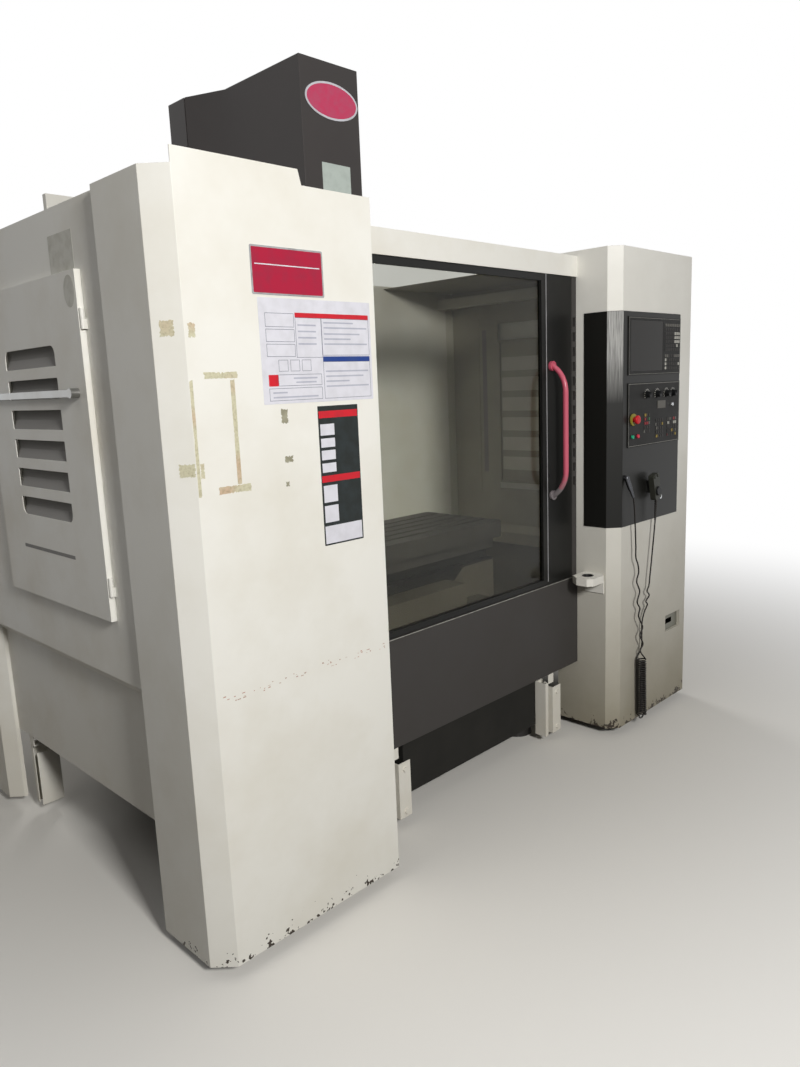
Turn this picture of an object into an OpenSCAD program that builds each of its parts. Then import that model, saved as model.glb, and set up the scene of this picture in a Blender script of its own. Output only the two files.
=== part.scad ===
// Vertical machining centre, C-frame, with a full sheet-metal enclosure.
// The frame: +X to the right seen from the front, +Y into the machine, +Z up, floor at z = 0.

/* [Enclosure] */
// Width over the two front pillars
enclosure_w = 2975; // [2900:5:3100]
// Depth from the dial of the hand unit to the handle of the main switch
enclosure_d = 2450; // [2430:5:2560]
// Clearance of the sheet metal above the floor
floor_gap = 40; // [20:1:80]
// Thickness of the enclosure sheet
sheet = 4; // [3:0.5:6]
// Height of the left front pillar
pillar_h = 2250; // [2240:5:2320]
// Height of the right front pillar
right_pillar_h = 2243; // [2240:1:2300]
// Width of the left front pillar
left_pillar_w = 740; // [735:1:780]
// Width of the right front pillar
right_pillar_w = 760; // [740:5:800]
// Depth of both front pillars
pillar_d = 318; // [310:1:340]
// Corner chamfer of the left pillar
left_chamfer = 60; // [30:1:90]
// Corner chamfers of the right pillar
right_chamfer = 50; // [30:1:70]
// Length of the raised fold on top of the left pillar
fold_l = 404; // [200:1:600]
// Height of the raised fold on top of the left pillar
fold_h = 42; // [10:1:80]

/* [Side panels] */
// Step from the pillar face in to the upper side panel
side_step = 20; // [16:1:24]
// Step from the upper side panel in to the skirt
skirt_step = 40; // [20:1:60]
// Height of the lip where the upper panel ends
lip_z = 835; // [800:5:900]
// Height of the lower edge of the skirt and of the apron
skirt_z = 351; // [320:1:400]
// Height of the top edge of the side panels
side_top = 2285; // [2270:1:2290]
// Distance of the rear wall in front of the column's face
rear_gap = 215; // [205:1:230]
// Width of each rear corner column
corner_w = 350; // [250:5:380]
// Depth of each rear corner column
corner_d = 304; // [200:2:340]
// Height of the raised screen in front of the tool magazine
screen_top = 2553; // [2400:1:2700]
// Half width of the gap in the rear wall round the column
column_gap = 330; // [320:1:360]
// Folded outer corner of the rear columns
corner_chamfer = 46; // [35:1:60]

/* [Side hatches] */
// Distance of the front edge of the hatch behind the front plane
hatch_d = 470; // [450:1:480]
// Length of the hatch
hatch_l = 795; // [780:1:820]
// Height of the lower edge of the hatch
hatch_z = 1034; // [1000:1:1060]
// Height of the hatch
hatch_h = 1056; // [1030:1:1080]
// Overlap of the hatch on the panel round the opening
hatch_lap = 30; // [20:1:40]
// Number of slots in the hatch
slot_n = 6; // [3:1:7]
// Length of each slot
slot_l = 405; // [300:5:460]
// Height of each slot
slot_h = 63; // [40:1:80]
// Distance from one slot to the next
slot_pitch = 99; // [90:1:104]
// Distance of the upper slot below the top of the hatch
slot_drop = 203; // [150:1:240]
// Corner radius of the group of slots
slot_r = 28; // [10:1:31]
// Height of the latch bar
latch_z = 1738; // [1700:1:1760]
// Distance of the latch knob behind the edge of the hatch
latch_in = 58; // [40:1:90]
// Radius of the hinge barrels
barrel_r = 6.5; // [6:0.1:7]

/* [Door] */
// Distance of the header behind the front plane
header_d = 203; // [195:1:208]
// Depth of the header and of the apron's ledge
header_t = 100; // [96:1:110]
// Height of the lower edge of the header
header_z = 2169; // [2150:1:2190]
// Height of the header
header_h = 91; // [88:1:110]
// Height of the apron under the door
apron_h = 434; // [400:1:460]
// Thickness of the door leaf
leaf_t = 30; // [26:1:32]
// Width of the stile that carries the handle
stile_w = 230; // [150:1:260]
// Width of the door's lower rail
rail_h = 24; // [20:1:60]
// Height of the door's upper edge above the header's lower edge
leaf_up = 71; // [68:1:72]
// Thickness of the door glass
glass_t = 6; // [4:0.5:8]
// Width of the slotted post beside the door
post_w = 37; // [20:1:40]
// Radius of the handle tube
handle_r = 12.5; // [10:0.5:16]
// Height of the handle's lower end
handle_z = 1199; // [1100:1:1300]
// Height of the handle over both ends
handle_h = 578; // [400:1:700]
// Reach of the handle in front of the door
handle_out = 74; // [60:1:90]
// Radius of the door rollers where they run on the rail
roller_r = 22; // [20:0.5:22]

/* [Control panel] */
// Height of the lower edge of the control housing
housing_z = 1030; // [950:5:1080]
// Height of the control housing
housing_h = 975; // [940:5:1010]
// Distance of the housing's right edge from the right side of the pillar
housing_in = 166; // [120:1:200]
// Distance that the housing wraps back along the pillar's side
housing_wrap = 168; // [150:1:180]
// Distance that the housing stands proud of the pillar
housing_proud = 3; // [2:0.5:6]
// Width of the display unit and of the operator plate
panel_w = 500; // [480:1:505]
// Height of the display unit
display_h = 261; // [255:1:275]
// Height of the operator plate
plate_h = 293; // [285:1:310]
// Width of the screen
screen_w = 302; // [260:1:310]
// Height of the screen
screen_h = 229; // [200:1:235]
// Radius of the emergency stop button
estop_r = 20; // [18:1:25]
// Travel of the push buttons
button_travel = 4; // [2:0.5:5]
// Radius of the four rotary knobs
knob_r = 15; // [12:0.5:18]

/* [Hand unit] */
// Width of the hand unit
unit_w = 58; // [50:1:70]
// Depth of the hand unit
unit_t = 28; // [24:1:38]
// Height of the hand unit
unit_h = 125; // [120:1:170]
// Radius of the pulse dial
dial_r = 23; // [18:0.5:26]
// Thickness of the pulse dial
dial_t = 9; // [6:0.5:12]
// Gap between the hand unit and the control housing
unit_gap = 20; // [12:1:24]
// Radius of the cord
cord_r = 3.5; // [2.5:0.1:4]
// Outer radius of the coiled stretch of the cord
coil_r = 27; // [20:0.5:30]

/* [Tool seat] */
// Radius of the hole in the tool seat
seat_hole_r = 22.5; // [18:0.5:26]
// Thickness of the tool seat
seat_t = 35; // [20:1:50]
// Reach of the tool seat from the pillar
seat_l = 138; // [130:1:180]
// Width of the tool seat
seat_w = 118; // [112:1:150]

/* [Base and column] */
// Distance of the base's front behind the front plane
base_d = 260; // [250:1:280]
// Width of the base
base_w = 900; // [890:1:940]
// Height of the underside of the base
base_z = 100; // [90:1:130]
// Height of the deck of the base
deck_z = 600; // [590:1:610]
// Height of the Y ways above the deck
way_h = 40; // [38:1:44]
// Depth of the column
column_t = 300; // [280:1:320]
// Half width of the column
column_w = 250; // [244:1:252]
// Thickness of the column at its top
column_head_t = 100; // [98:1:110]
// Height of the top of the column
column_top = 2760; // [2740:1:2780]
// Height of the covers over the head and the column
cover_top = 3120; // [3100:5:3200]

/* [Table and saddle] */
// Length of the table
table_l = 1050; // [1000:5:1060]
// Width of the table
table_w = 500; // [490:1:520]
// Height of the table's top
table_z = 1040; // [1035:1:1060]
// Thickness of the table's slab
slab_h = 83; // [70:1:90]
// Offset of the table from the middle as it stands in the photograph
table_x = 93; // [60:1:120]
// Distance of the table's centre line in front of the spindle axis
table_reach = 285; // [275:1:300]
// Width of the T-slots
t_slot_w = 18; // [14:1:18]
// Distance between the T-slots
t_slot_pitch = 80; // [75:1:90]
// Number of T-slots
t_slot_n = 5; // [3:2:5]
// Length of the saddle along Y
saddle_l = 480; // [470:1:490]
// Half length of the X ways on the saddle
wing_l = 560; // [545:1:580]

/* [Head] */
// Distance of the spindle axis in front of the column's face
spindle_reach = 690; // [680:1:700]
// Distance of the head's front in front of the spindle axis
head_front = 115; // [105:1:125]
// Half width of the headstock
head_w = 165; // [160:1:168]
// Height of the underside of the headstock
head_z = 1700; // [1690:1:1720]
// Height of the headstock
head_h = 540; // [520:1:560]
// Radius of the spindle cartridge
nose_r = 95; // [85:1:100]
// Radius of the spindle where it turns in the headstock
spindle_r = 45; // [40:1:50]
// Radius of the spindle taper at its mouth
taper_r = 22.2; // [16:0.1:26]
// Radius of the ball screws
screw_r = 20; // [18:0.5:22]

/* [Tool changer] */
// Radius of the magazine disc
disc_r = 330; // [320:1:335]
// Number of tool pots on the disc
pot_n = 20; // [12:1:20]
// Radius of a tool pot
pot_r = 26; // [22:1:30]
// Height of the magazine's axis
disc_z = 1960; // [1955:1:1980]
// Distance of the arm's axis to the left of the spindle
arm_x = 300; // [295:1:305]
// Height of the underside of the tool arm
arm_z = 1500; // [1480:1:1520]

/* [Electrical cabinet] */
// Width of the electrical cabinet
cabinet_w = 920; // [800:10:1000]
// Depth of the electrical cabinet behind the column
cabinet_d = 235; // [220:1:260]
// Height of the underside of the cabinet
cabinet_z = 500; // [440:10:560]
// Height of the cabinet
cabinet_h = 1685; // [1500:5:1700]
// Thickness of the cabinet door
cabinet_door_t = 20; // [16:1:24]
// Reach of the main switch from the cabinet door
switch_out = 30; // [20:1:40]

/* [Fits] */
// Gap between parts that move past each other
slip = 0.3; // [0.2:0.05:0.5]
// Radial clearance of a shaft in its bore
run = 0.06; // [0.03:0.01:0.09]

/* [Hidden] */
$fn = 48;

// Reach of the hand unit in front of the front plane
hand_out = housing_proud + unit_gap + unit_t + dial_t;
front = -enclosure_d / 2 + hand_out;
back = enclosure_d / 2;
left = -enclosure_w / 2;
right = enclosure_w / 2;
// Share of an inset that a 45 degree corner takes along each side
corner_share = sqrt(2) - 1;
opening_l = left + left_pillar_w;
opening_r = right - right_pillar_w;
pillar_y = front + pillar_d;
header_y = front + header_d;
header_top = header_z + header_h;
apron_top = skirt_z + apron_h;
side_x = left + side_step;
skirt_x = side_x + skirt_step;
cabinet_back = back - switch_out - cabinet_door_t;
column_back = cabinet_back - cabinet_d;
column_y = column_back - column_t;
rear_y = column_y - rear_gap;
spindle_y = column_y - spindle_reach;
table_y = spindle_y - table_reach;
base_y0 = front + base_d;
base_y1 = column_back;
flange = 30;

module block(x0, x1, y0, y1, z0, z1) {
    translate([x0, y0, z0]) cube([x1 - x0, y1 - y0, z1 - z0]);
}

// Outline in X and Z, carried along Y
module along_y(y0, y1) {
    translate([0, y1, 0]) rotate([90, 0, 0]) linear_extrude(y1 - y0) children();
}

// Outline in Y and Z, carried along X
module along_x(x0, x1) {
    translate([x0, 0, 0]) rotate([90, 0, 90]) linear_extrude(x1 - x0) children();
}

module rod_y(x, z, y0, y1, r) {
    translate([x, y0, z]) rotate([-90, 0, 0]) cylinder(r = r, h = y1 - y0);
}

module rod_x(y, z, x0, x1, r) {
    translate([x0, y, z]) rotate([0, 90, 0]) cylinder(r = r, h = x1 - x0);
}

module rod_z(x, y, z0, z1, r) {
    translate([x, y, z0]) cylinder(r = r, h = z1 - z0);
}

// Round bar from point p to point q, with a radius at each end
module bar(p, q, r0, r1) {
    d = q - p;
    turn = [0, acos(d[2] / norm(d)), atan2(d[1], d[0])];
    translate(p) rotate(turn) cylinder(r1 = r0, r2 = r1, h = norm(d));
}

// Rectangle in the drawing plane with rounded corners
module round_rect(x0, x1, y0, y1, r) {
    translate([x0 + r, y0]) square([x1 - x0 - 2 * r, y1 - y0]);
    translate([x0, y0 + r]) square([x1 - x0, y1 - y0 - 2 * r]);
    for (x = [x0 + r, x1 - r], y = [y0 + r, y1 - r])
        translate([x, y]) circle(r = r);
}

// Base casting

way_in = 260;
way_w = 80;
trough_w = 90;
trough_z = deck_z - 80;
screw_y_z = deck_z;
lug_y = [base_y0 + 160, (base_y0 + base_y1) / 2, base_y1 - 160];
lug_l = 120;
lug_x = base_w / 2 + lug_l / 2;
lug_h = 60;
foot_bolt_r = 16;
pad_h = 35;
bearing_t = 25;
journal_r = 14;
screw_y0 = base_y0 + 40;
screw_y1 = column_y - 80;

module base_casting() color("#4d5254") difference() {
    union() {
        block(-base_w / 2, base_w / 2, base_y0, base_y1, base_z, deck_z);
        for (s = [-1, 1], y = lug_y)
            block(s * lug_x - lug_l / 2, s * lug_x + lug_l / 2, y - 80, y + 80, base_z, base_z + lug_h);
        for (s = [0, 1]) mirror([s, 0, 0])
            block(way_in, way_in + way_w, base_y0 + 20, column_y - 60, deck_z, deck_z + way_h);
    }
    difference() {
        block(-trough_w, trough_w, base_y0 + 15, base_y1 + 1, trough_z, deck_z + way_h + 1);
        for (y = [screw_y0, screw_y1])
            block(-trough_w, trough_w, y, y + bearing_t, trough_z - 1, deck_z + 30);
    }
    for (y = [screw_y0, screw_y1]) rod_y(0, screw_y_z, y - 1, y + bearing_t + 1, journal_r + run);
    for (s = [-1, 1], y = lug_y)
        rod_z(s * lug_x, y, base_z - 1, base_z + lug_h + 1, foot_bolt_r + slip);
    // Core pockets in both flanks of the casting
    for (s = [0, 1]) mirror([s, 0, 0]) for (y = [base_y0 + 290 : 430 : base_y1 - 500])
        block(base_w / 2 - 60, base_w / 2 + 1, y, y + 300, base_z + 110, deck_z - 90);
}

module levelling_feet() color("#3c3e40") for (s = [-1, 1], y = lug_y) translate([s * lug_x, y, 0]) {
    cylinder(r1 = 75, r2 = 70, h = pad_h);
    cylinder(r = foot_bolt_r, h = base_z + lug_h + 55);
    translate([0, 0, pad_h]) cylinder(r = 30, h = 28, $fn = 6);
    translate([0, 0, base_z + lug_h]) cylinder(r = 28, h = 26, $fn = 6);
}

// Column

column_way_x = 170;
column_way_w = 60;
column_way_y = column_y - way_h;
cover_back = column_y + column_head_t;
recess_w = 100;
recess_z = 940;
recess_top = column_top - 60;
screw_z_y = column_y + 40;
tunnel_w = 300;
tunnel_h = 160;
foot_w = 420;

module column_casting() color("#4d5254") difference() {
    union() {
        along_y(column_y, column_back) polygon([
            [-foot_w, deck_z], [foot_w, deck_z], [foot_w, deck_z + 260], [column_w, deck_z + 500],
            [column_w, column_top], [-column_w, column_top], [-column_w, deck_z + 500],
            [-foot_w, deck_z + 260]]);
        for (s = [0, 1]) mirror([s, 0, 0])
            block(column_way_x, column_way_x + column_way_w, column_way_y, column_y, 900, recess_top);
    }
    block(-tunnel_w, tunnel_w, column_y - 1, column_back + 1, deck_z - 1, deck_z + tunnel_h);
    block(-recess_w, recess_w, column_y - 1, column_y + 90, recess_z, recess_top);
    rod_z(0, screw_z_y, recess_z - 30, column_top + 1, 12 + run);
    for (s = [0, 1]) mirror([s, 0, 0])
        block(column_w - 50, column_w + 1, column_y + 70, column_back - 70, 1160, 1440);
    // The column grows thinner towards its top
    along_x(-column_w - 1, column_w + 1) polygon([
        [column_back + 1, 1500], [column_back + 1, column_top + 1], [cover_back, column_top + 1],
        [cover_back, 2250]]);
}

// Ball screws with their journals

module screw_x() color("#b9bcbf") {
    rod_x(table_y, screw_x_z, -wing_l + bearing_t + 1, wing_l - bearing_t - 1, screw_x_r);
    rod_x(table_y, screw_x_z, -wing_l + 4, wing_l - 4, screw_x_r - 4);
}

module screw_y() color("#b9bcbf") {
    rod_y(0, screw_y_z, screw_y0 + bearing_t + 1, screw_y1 - 1, screw_r);
    rod_y(0, screw_y_z, screw_y0 + 4, screw_y1 + bearing_t, journal_r);
}

module screw_z() color("#b9bcbf") {
    rod_z(0, screw_z_y, recess_z + 1, recess_top - 1, screw_r);
    rod_z(0, screw_z_y, recess_z - 28, column_top, 12);
}

// Servo motor with its square flange, shaft end at the origin, body along +Z
module servo(w, h) {
    translate([-w / 2, -w / 2, 0]) cube([w, w, 12]);
    translate([-w / 2 + 5, -w / 2 + 5, 12]) cube([w - 10, w - 10, h - 62]);
    translate([-w / 2 + 12, -w / 2 + 12, h - 50]) cube([w - 24, w - 24, 50]);
    translate([w / 2 - 6, -18, h * 0.55]) cube([24, 36, 30]);
}

module axis_motors() color("#26282a") {
    motor_y = screw_y1 + bearing_t;
    translate([0, motor_y, screw_y_z]) rotate([-90, 0, 0]) servo(120, 165);
    block(-60, 60, motor_y, motor_y + 12, trough_z, screw_y_z - 59);
    translate([0, screw_z_y, column_top]) servo(110, 220);
}

// Covers over the column's head and lower ways

seam_y = column_way_y - 7;
cover_w = 257.5;
apron_y0 = column_way_y - 10;

module column_cover() color("#202224") {
    z0 = head_z + head_h + 60;
    difference() {
        block(-cover_w, cover_w, column_way_y, cover_back + sheet, z0, cover_top);
        block(-cover_w + sheet, cover_w - sheet, column_way_y - 1, cover_back, z0 - 1, cover_top - sheet);
    }
    block(-cover_w + sheet, cover_w - sheet, column_way_y, column_way_y + sheet,
        column_top + 20, cover_top - sheet);
    for (s = [0, 1]) mirror([s, 0, 0])
        block(column_w, cover_w - sheet, column_y + 20, column_y + 60, z0, z0 + 60);
    // Fixed sheet over the lower part of the ways
    low_top = head_z - head_travel - 10;
    block(-column_w, column_w, column_way_y - 4, column_way_y - 1, deck_z + tunnel_h, low_top);
    for (s = [0, 1]) mirror([s, 0, 0])
        block(column_w - 4, column_w, column_way_y - 1, column_y, deck_z + tunnel_h, low_top);
}

// Front pillars

// Outline of the left pillar, moved in by t
function left_outline(t) = [
    [left + t, pillar_y - t], [left + t, front + left_chamfer + corner_share * t],
    [left + left_chamfer + corner_share * t, front + t], [opening_l - t, front + t],
    [opening_l - t, pillar_y - t]];

// Outline of the right pillar, moved in by t
function right_outline(t) = [
    [opening_r + t, pillar_y - t], [opening_r + t, front + right_chamfer + corner_share * t],
    [opening_r + right_chamfer + corner_share * t, front + t],
    [right - right_chamfer - corner_share * t, front + t],
    [right - t, front + right_chamfer + corner_share * t], [right - t, pillar_y - t]];

leaf_y = header_y + sheet + 3;
slot_z = apron_top - 2;

module left_front_pillar() color("#ecebe6") {
    z1 = floor_gap + pillar_h;
    difference() {
        translate([0, 0, floor_gap]) linear_extrude(pillar_h) polygon(left_outline(0));
        translate([0, 0, floor_gap + sheet])
            linear_extrude(pillar_h - 2 * sheet) polygon(left_outline(sheet));
        block(opening_l - sheet - 1, opening_l + 1, header_y - 4, header_y + header_t,
            slot_z, header_top - sheet - 4);
    }
    x0 = left + left_chamfer;
    along_y(front, front + sheet) polygon([
        [x0, z1], [x0 + fold_l + 11, z1], [x0 + fold_l, z1 + fold_h], [x0, z1 + fold_h]]);
}

pocket_x0 = right - 259;
pocket_w = 156;
pocket_z = 413;
pocket_h = 85;

module right_front_pillar() color("#ecebe6") {
    housing_top = housing_z + housing_h;
    difference() {
        translate([0, 0, floor_gap]) linear_extrude(right_pillar_h) polygon(right_outline(0));
        translate([0, 0, floor_gap + sheet])
            linear_extrude(right_pillar_h - 2 * sheet) polygon(right_outline(sheet));
        block(opening_r - 1, right - housing_in + slip, front - 1, front + housing_wrap + slip,
            housing_z - slip, housing_top + slip);
        block(pocket_x0, pocket_x0 + pocket_w, front - 1, front + sheet + 1,
            pocket_z, pocket_z + pocket_h);
    }
    // Pocket with its slotted back plate
    difference() {
        block(pocket_x0 - 6, pocket_x0 + pocket_w + 6, front + sheet, front + sheet + 14,
            pocket_z - 6, pocket_z + pocket_h + 6);
        block(pocket_x0, pocket_x0 + pocket_w, front + sheet - 1, front + sheet + 11,
            pocket_z, pocket_z + pocket_h);
        block(pocket_x0 + 6, pocket_x0 + 96, front + sheet, front + sheet + 20,
            pocket_z + 32, pocket_z + 58);
    }
}

// Header, its rail and the apron

leaf_z0 = apron_top + 3;
leaf_z1 = header_z + leaf_up;
rail_y = leaf_y + leaf_t + 35;
rail_top = leaf_z1 - 12 - roller_r;
header_back = header_y + header_t;

module header_beam() color("#ecebe6") {
    block(opening_l, opening_r, header_y, header_y + sheet, header_z, header_top);
    block(opening_l, opening_r, header_y + sheet, header_back, header_top - sheet, header_top);
    block(opening_l, opening_r, header_back - sheet, header_back, header_z, header_top - sheet);
    // Rail that the door hangs on
    x0 = left + sheet;
    block(x0, opening_r, rail_y, header_back - sheet, rail_top - 16, rail_top - 12);
    block(x0, opening_r, rail_y, rail_y + 4, rail_top - 12, rail_top - slip);
}

module front_apron() color("#3f4245") {
    difference() {
        block(opening_l, opening_r, header_y + 2, header_back, skirt_z, apron_top);
        block(opening_l - 1, opening_r + 1, header_y + 2 + sheet, header_back + 1,
            skirt_z + sheet, apron_top - sheet);
        block(opening_l - 1, opening_r + 1, header_y + 50, header_back + 1,
            skirt_z - 1, skirt_z + sheet + 1);
    }
    // Shoes behind the door's lower edge
    for (x = [opening_l + 300, opening_r - 220])
        block(x, x + 80, leaf_y + leaf_t + slip, leaf_y + leaf_t + 12, apron_top, apron_top + 22);
    // Slotted post beside the door
    difference() {
        block(opening_r - post_w, opening_r, leaf_y, leaf_y + leaf_t, apron_top, header_z);
        for (z = [apron_top + 440 : 66 : header_z - 160])
            block(opening_r - post_w + 8, opening_r - 8, leaf_y - 1, leaf_y + leaf_t + 1, z, z + 40);
    }
}

// Door leaf with its glass, handle and rollers

leaf_x0 = opening_l - 40;
leaf_x1 = opening_r - post_w - 4;
glass_x0 = opening_l - 2;
glass_x1 = leaf_x1 - stile_w;
glass_z0 = leaf_z0 + rail_h;
glass_z1 = header_z - 29;
glass_lap = 10;
glass_y = leaf_y + 12;
hanger_x = [leaf_x0 + 135, leaf_x1 - 135];
hanger_z = leaf_z1 - 12;
pin_r = 6;

module door_frame() color("#17181a") {
    difference() {
        block(leaf_x0, leaf_x1, leaf_y, leaf_y + leaf_t, leaf_z0, leaf_z1);
        block(glass_x0, glass_x1, leaf_y - 1, leaf_y + leaf_t + 1, glass_z0, glass_z1);
        block(glass_x0 - glass_lap, glass_x1 + glass_lap, glass_y, leaf_y + leaf_t + 1,
            glass_z0 - glass_lap, glass_z1 + glass_lap);
        // Recessed lock plate in the stile
        rod_y(leaf_x1 - 190, handle_z + 90, leaf_y - 1, leaf_y + 3, 11);
    }
    for (x = hanger_x) {
        rod_y(x, hanger_z, leaf_y + leaf_t, rail_y - 6.5, 9);
        rod_y(x, hanger_z, leaf_y + leaf_t, rail_y + 10.5, pin_r);
        rod_y(x, hanger_z, rail_y + 10.5, rail_y + 14, 9);
    }
}

module door_glass() color([0.25, 0.28, 0.28, 0.35])
    block(glass_x0 - glass_lap + 0.5, glass_x1 + glass_lap - 0.5, glass_y, glass_y + glass_t,
        glass_z0 - glass_lap + 0.5, glass_z1 + glass_lap - 0.5);

handle_x = leaf_x1 - 159;

handle_bow = 130;
handle_turn = acos(1 - (handle_out - 7) / handle_bow);

module door_handle() color("#c9566c") {
    y1 = leaf_y - handle_out;
    z0 = handle_z + handle_bow * sin(handle_turn);
    z1 = handle_z + handle_h - handle_bow * sin(handle_turn);
    rod_z(handle_x, y1, z0 - 6, z1 + 6, handle_r);
    // Bows that lead from the grip back to the two bosses on the door
    translate([handle_x, y1 + handle_bow, z1]) rotate([90, 0, -90])
        rotate_extrude(angle = handle_turn) translate([handle_bow, 0]) circle(r = handle_r - 0.5);
    translate([handle_x, y1 + handle_bow, z0]) mirror([0, 0, 1]) rotate([90, 0, -90])
        rotate_extrude(angle = handle_turn) translate([handle_bow, 0]) circle(r = handle_r - 0.5);
    for (z = [handle_z, handle_z + handle_h]) rod_y(handle_x, z, leaf_y - 12, leaf_y, 22);
}

module roller(i) color("#8a8d90") translate([hanger_x[i], rail_y - 6, hanger_z]) rotate([-90, 0, 0])
    rotate_extrude() polygon([
        [pin_r + run, 0], [roller_r + 4, 0], [roller_r + 4, 4.5], [roller_r, 5], [roller_r, 11],
        [roller_r + 4, 11.5], [roller_r + 4, 16], [pin_r + run, 16]]);

module door_roller_left() roller(0);
module door_roller_right() roller(1);

// Side panels with their hatches

hatch_y0 = front + hatch_d;
hatch_y1 = hatch_y0 + hatch_l;
hatch_top = hatch_z + hatch_h;
hinge_x = left + 7.5;
hinge_y = hatch_y0 - 7;
hinge_z = [hatch_z + 110, hatch_top - 140];
hinge_h = 30;
hinge_pin_r = 3.5;
latch_y = hatch_y0 + latch_in;
latch_r = 8;
latch_out = 27.5;

module side_panel() {
    difference() {
        along_y(pillar_y, rear_y) polygon([
            [side_x + 60, side_top], [side_x, side_top], [side_x, lip_z],
            [skirt_x, lip_z - skirt_step - 5], [skirt_x, skirt_z], [skirt_x + flange, skirt_z],
            [skirt_x + flange, skirt_z + sheet], [skirt_x + sheet, skirt_z + sheet],
            [skirt_x + sheet, lip_z - skirt_step - 5 + corner_share * sheet],
            [side_x + sheet, lip_z + corner_share * sheet],
            [side_x + sheet, side_top - sheet], [side_x + 60, side_top - sheet]]);
        block(side_x - 1, side_x + sheet + 1, hatch_y0 + hatch_lap, hatch_y1 - hatch_lap,
            hatch_z + hatch_lap, hatch_top - hatch_lap);
    }
    // Hinge barrels with their pins
    for (z = hinge_z) {
        rod_z(hinge_x, hinge_y, z - hinge_h, z, barrel_r);
        rod_z(hinge_x, hinge_y, z, z + hinge_h - 2, hinge_pin_r);
        block(hinge_x, side_x, hinge_y - 4, hinge_y + 3, z - hinge_h, z);
    }
    // Shelf that the latch bar rests on
    block(left - 15, side_x, hatch_y1 + 14, hatch_y1 + 38, latch_z - 18, latch_z - 11 - slip);
}

module hatch() {
    y_mid = (hatch_y0 + hatch_y1) / 2;
    top = hatch_top - slot_drop;
    low = top - (slot_n - 1) * slot_pitch - slot_h;
    difference() {
        block(left, side_x - slip, hatch_y0, hatch_y1, hatch_z, hatch_top);
        block(left + 3, side_x, hatch_y0 + 3, hatch_y1 - 3, hatch_z + 3, hatch_top - 3);
        along_x(left - 1, left + 4) intersection() {
            round_rect(y_mid - slot_l / 2, y_mid + slot_l / 2, low, top, slot_r);
            for (i = [0 : slot_n - 1]) translate([y_mid - slot_l / 2, top - slot_h - i * slot_pitch])
                square([slot_l, slot_h]);
        }
        rod_x(latch_y, latch_z, left - 1, left + 4, latch_r + run);
    }
    // Louvre blades behind the slots
    for (i = [0 : slot_n - 1]) {
        z = top - slot_h - i * slot_pitch;
        along_y(y_mid - slot_l / 2 - 12, y_mid + slot_l / 2 + 12) polygon([
            [left + 3, z - 6], [left + 3, z - 3], [left + 17, z + 33], [left + 17, z + 30]]);
    }
    for (z = hinge_z) {
        difference() {
            union() {
                rod_z(hinge_x, hinge_y, z + slip, z + hinge_h, barrel_r);
                block(hinge_x - 3, hinge_x + 3, hinge_y, hatch_y0 + 1, z + slip, z + hinge_h);
            }
            rod_z(hinge_x, hinge_y, z - 1, z + hinge_h + 1, hinge_pin_r + run);
        }
    }
}

module latch_bar() {
    rod_x(latch_y, latch_z, left - latch_out, left - slip, 15);
    rod_x(latch_y, latch_z, left - latch_out, left + 14, latch_r);
    block(left - 14, left - 9, latch_y, hatch_y1 + 50, latch_z - 11, latch_z + 11);
    block(left + 8, left + 13, latch_y - 10, latch_y + 10, latch_z - 28, latch_z);
}

module left_side_panel() color("#e9e8e2") side_panel();
module right_side_panel() color("#e9e8e2") mirror([1, 0, 0]) side_panel();
module left_hatch() color("#e9e8e2") hatch();
module right_hatch() color("#e9e8e2") mirror([1, 0, 0]) hatch();
module left_latch_bar() color("#a8abae") latch_bar();
module right_latch_bar() color("#a8abae") mirror([1, 0, 0]) latch_bar();

// Rear wall with its two corner columns

mag_plate_x = -704;
mag_plate_t = 16;
// The rear wall clears the base and its ways where it passes behind the chip pans
rear_low = deck_z + way_h + 8;

// Corner column of width w with its folded outer corner, moved in by t
leg_w = corner_chamfer + 16;
module column_section(w, t, z0, z1) {
    translate([0, 0, z0]) linear_extrude(z1 - z0) polygon([
        [left + t, rear_y + corner_chamfer + corner_share * t],
        [left + corner_chamfer + corner_share * t, rear_y + t], [left + w - t, rear_y + t],
        [left + w - t, rear_y + corner_d - t], [left + t, rear_y + corner_d - t]]);
}

module rear_wall() color("#e9e8e2") {
    corner_x = left + corner_w;
    for (s = [0, 1]) mirror([s, 0, 0]) difference() {
        union() {
            column_section(corner_w, 0, skirt_z, side_top);
            column_section(leg_w, 0, floor_gap, skirt_z + 1);
        }
        column_section(corner_w, sheet, skirt_z + sheet, side_top - sheet);
        column_section(leg_w, sheet, floor_gap + sheet, skirt_z + sheet + 1);
    }
    // Screen on the magazine side, with a window for the magazine's beam
    difference() {
        union() {
            block(corner_x, -base_w / 2 - 6, rear_y, rear_y + sheet, skirt_z, side_top);
            block(-base_w / 2 - 6, -column_gap, rear_y, rear_y + sheet, rear_low, side_top);
            block(left + 430, -column_gap, rear_y, rear_y + sheet, side_top, screen_top);
            block(-column_gap - sheet, -column_gap, rear_y, rear_y + flange, rear_low, screen_top);
            block(left + 430, left + 430 + sheet, rear_y, rear_y + flange, side_top + 1, screen_top);
        }
        block(mag_plate_x - mag_plate_t - 8, mag_plate_x + 8, rear_y - 1, rear_y + sheet + 1,
            disc_z - 88, disc_z + 88);
    }
    block(base_w / 2 + 6, -corner_x, rear_y, rear_y + sheet, skirt_z, side_top);
    block(column_gap, base_w / 2 + 6, rear_y, rear_y + sheet, rear_low, side_top);
    block(column_gap, column_gap + sheet, rear_y + sheet, rear_y + flange, rear_low, side_top);
    block(column_gap + sheet, -corner_x, rear_y + sheet, rear_y + flange, side_top - sheet, side_top);
}

// Chip pans beside the base and the fixed part of the way cover

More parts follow.
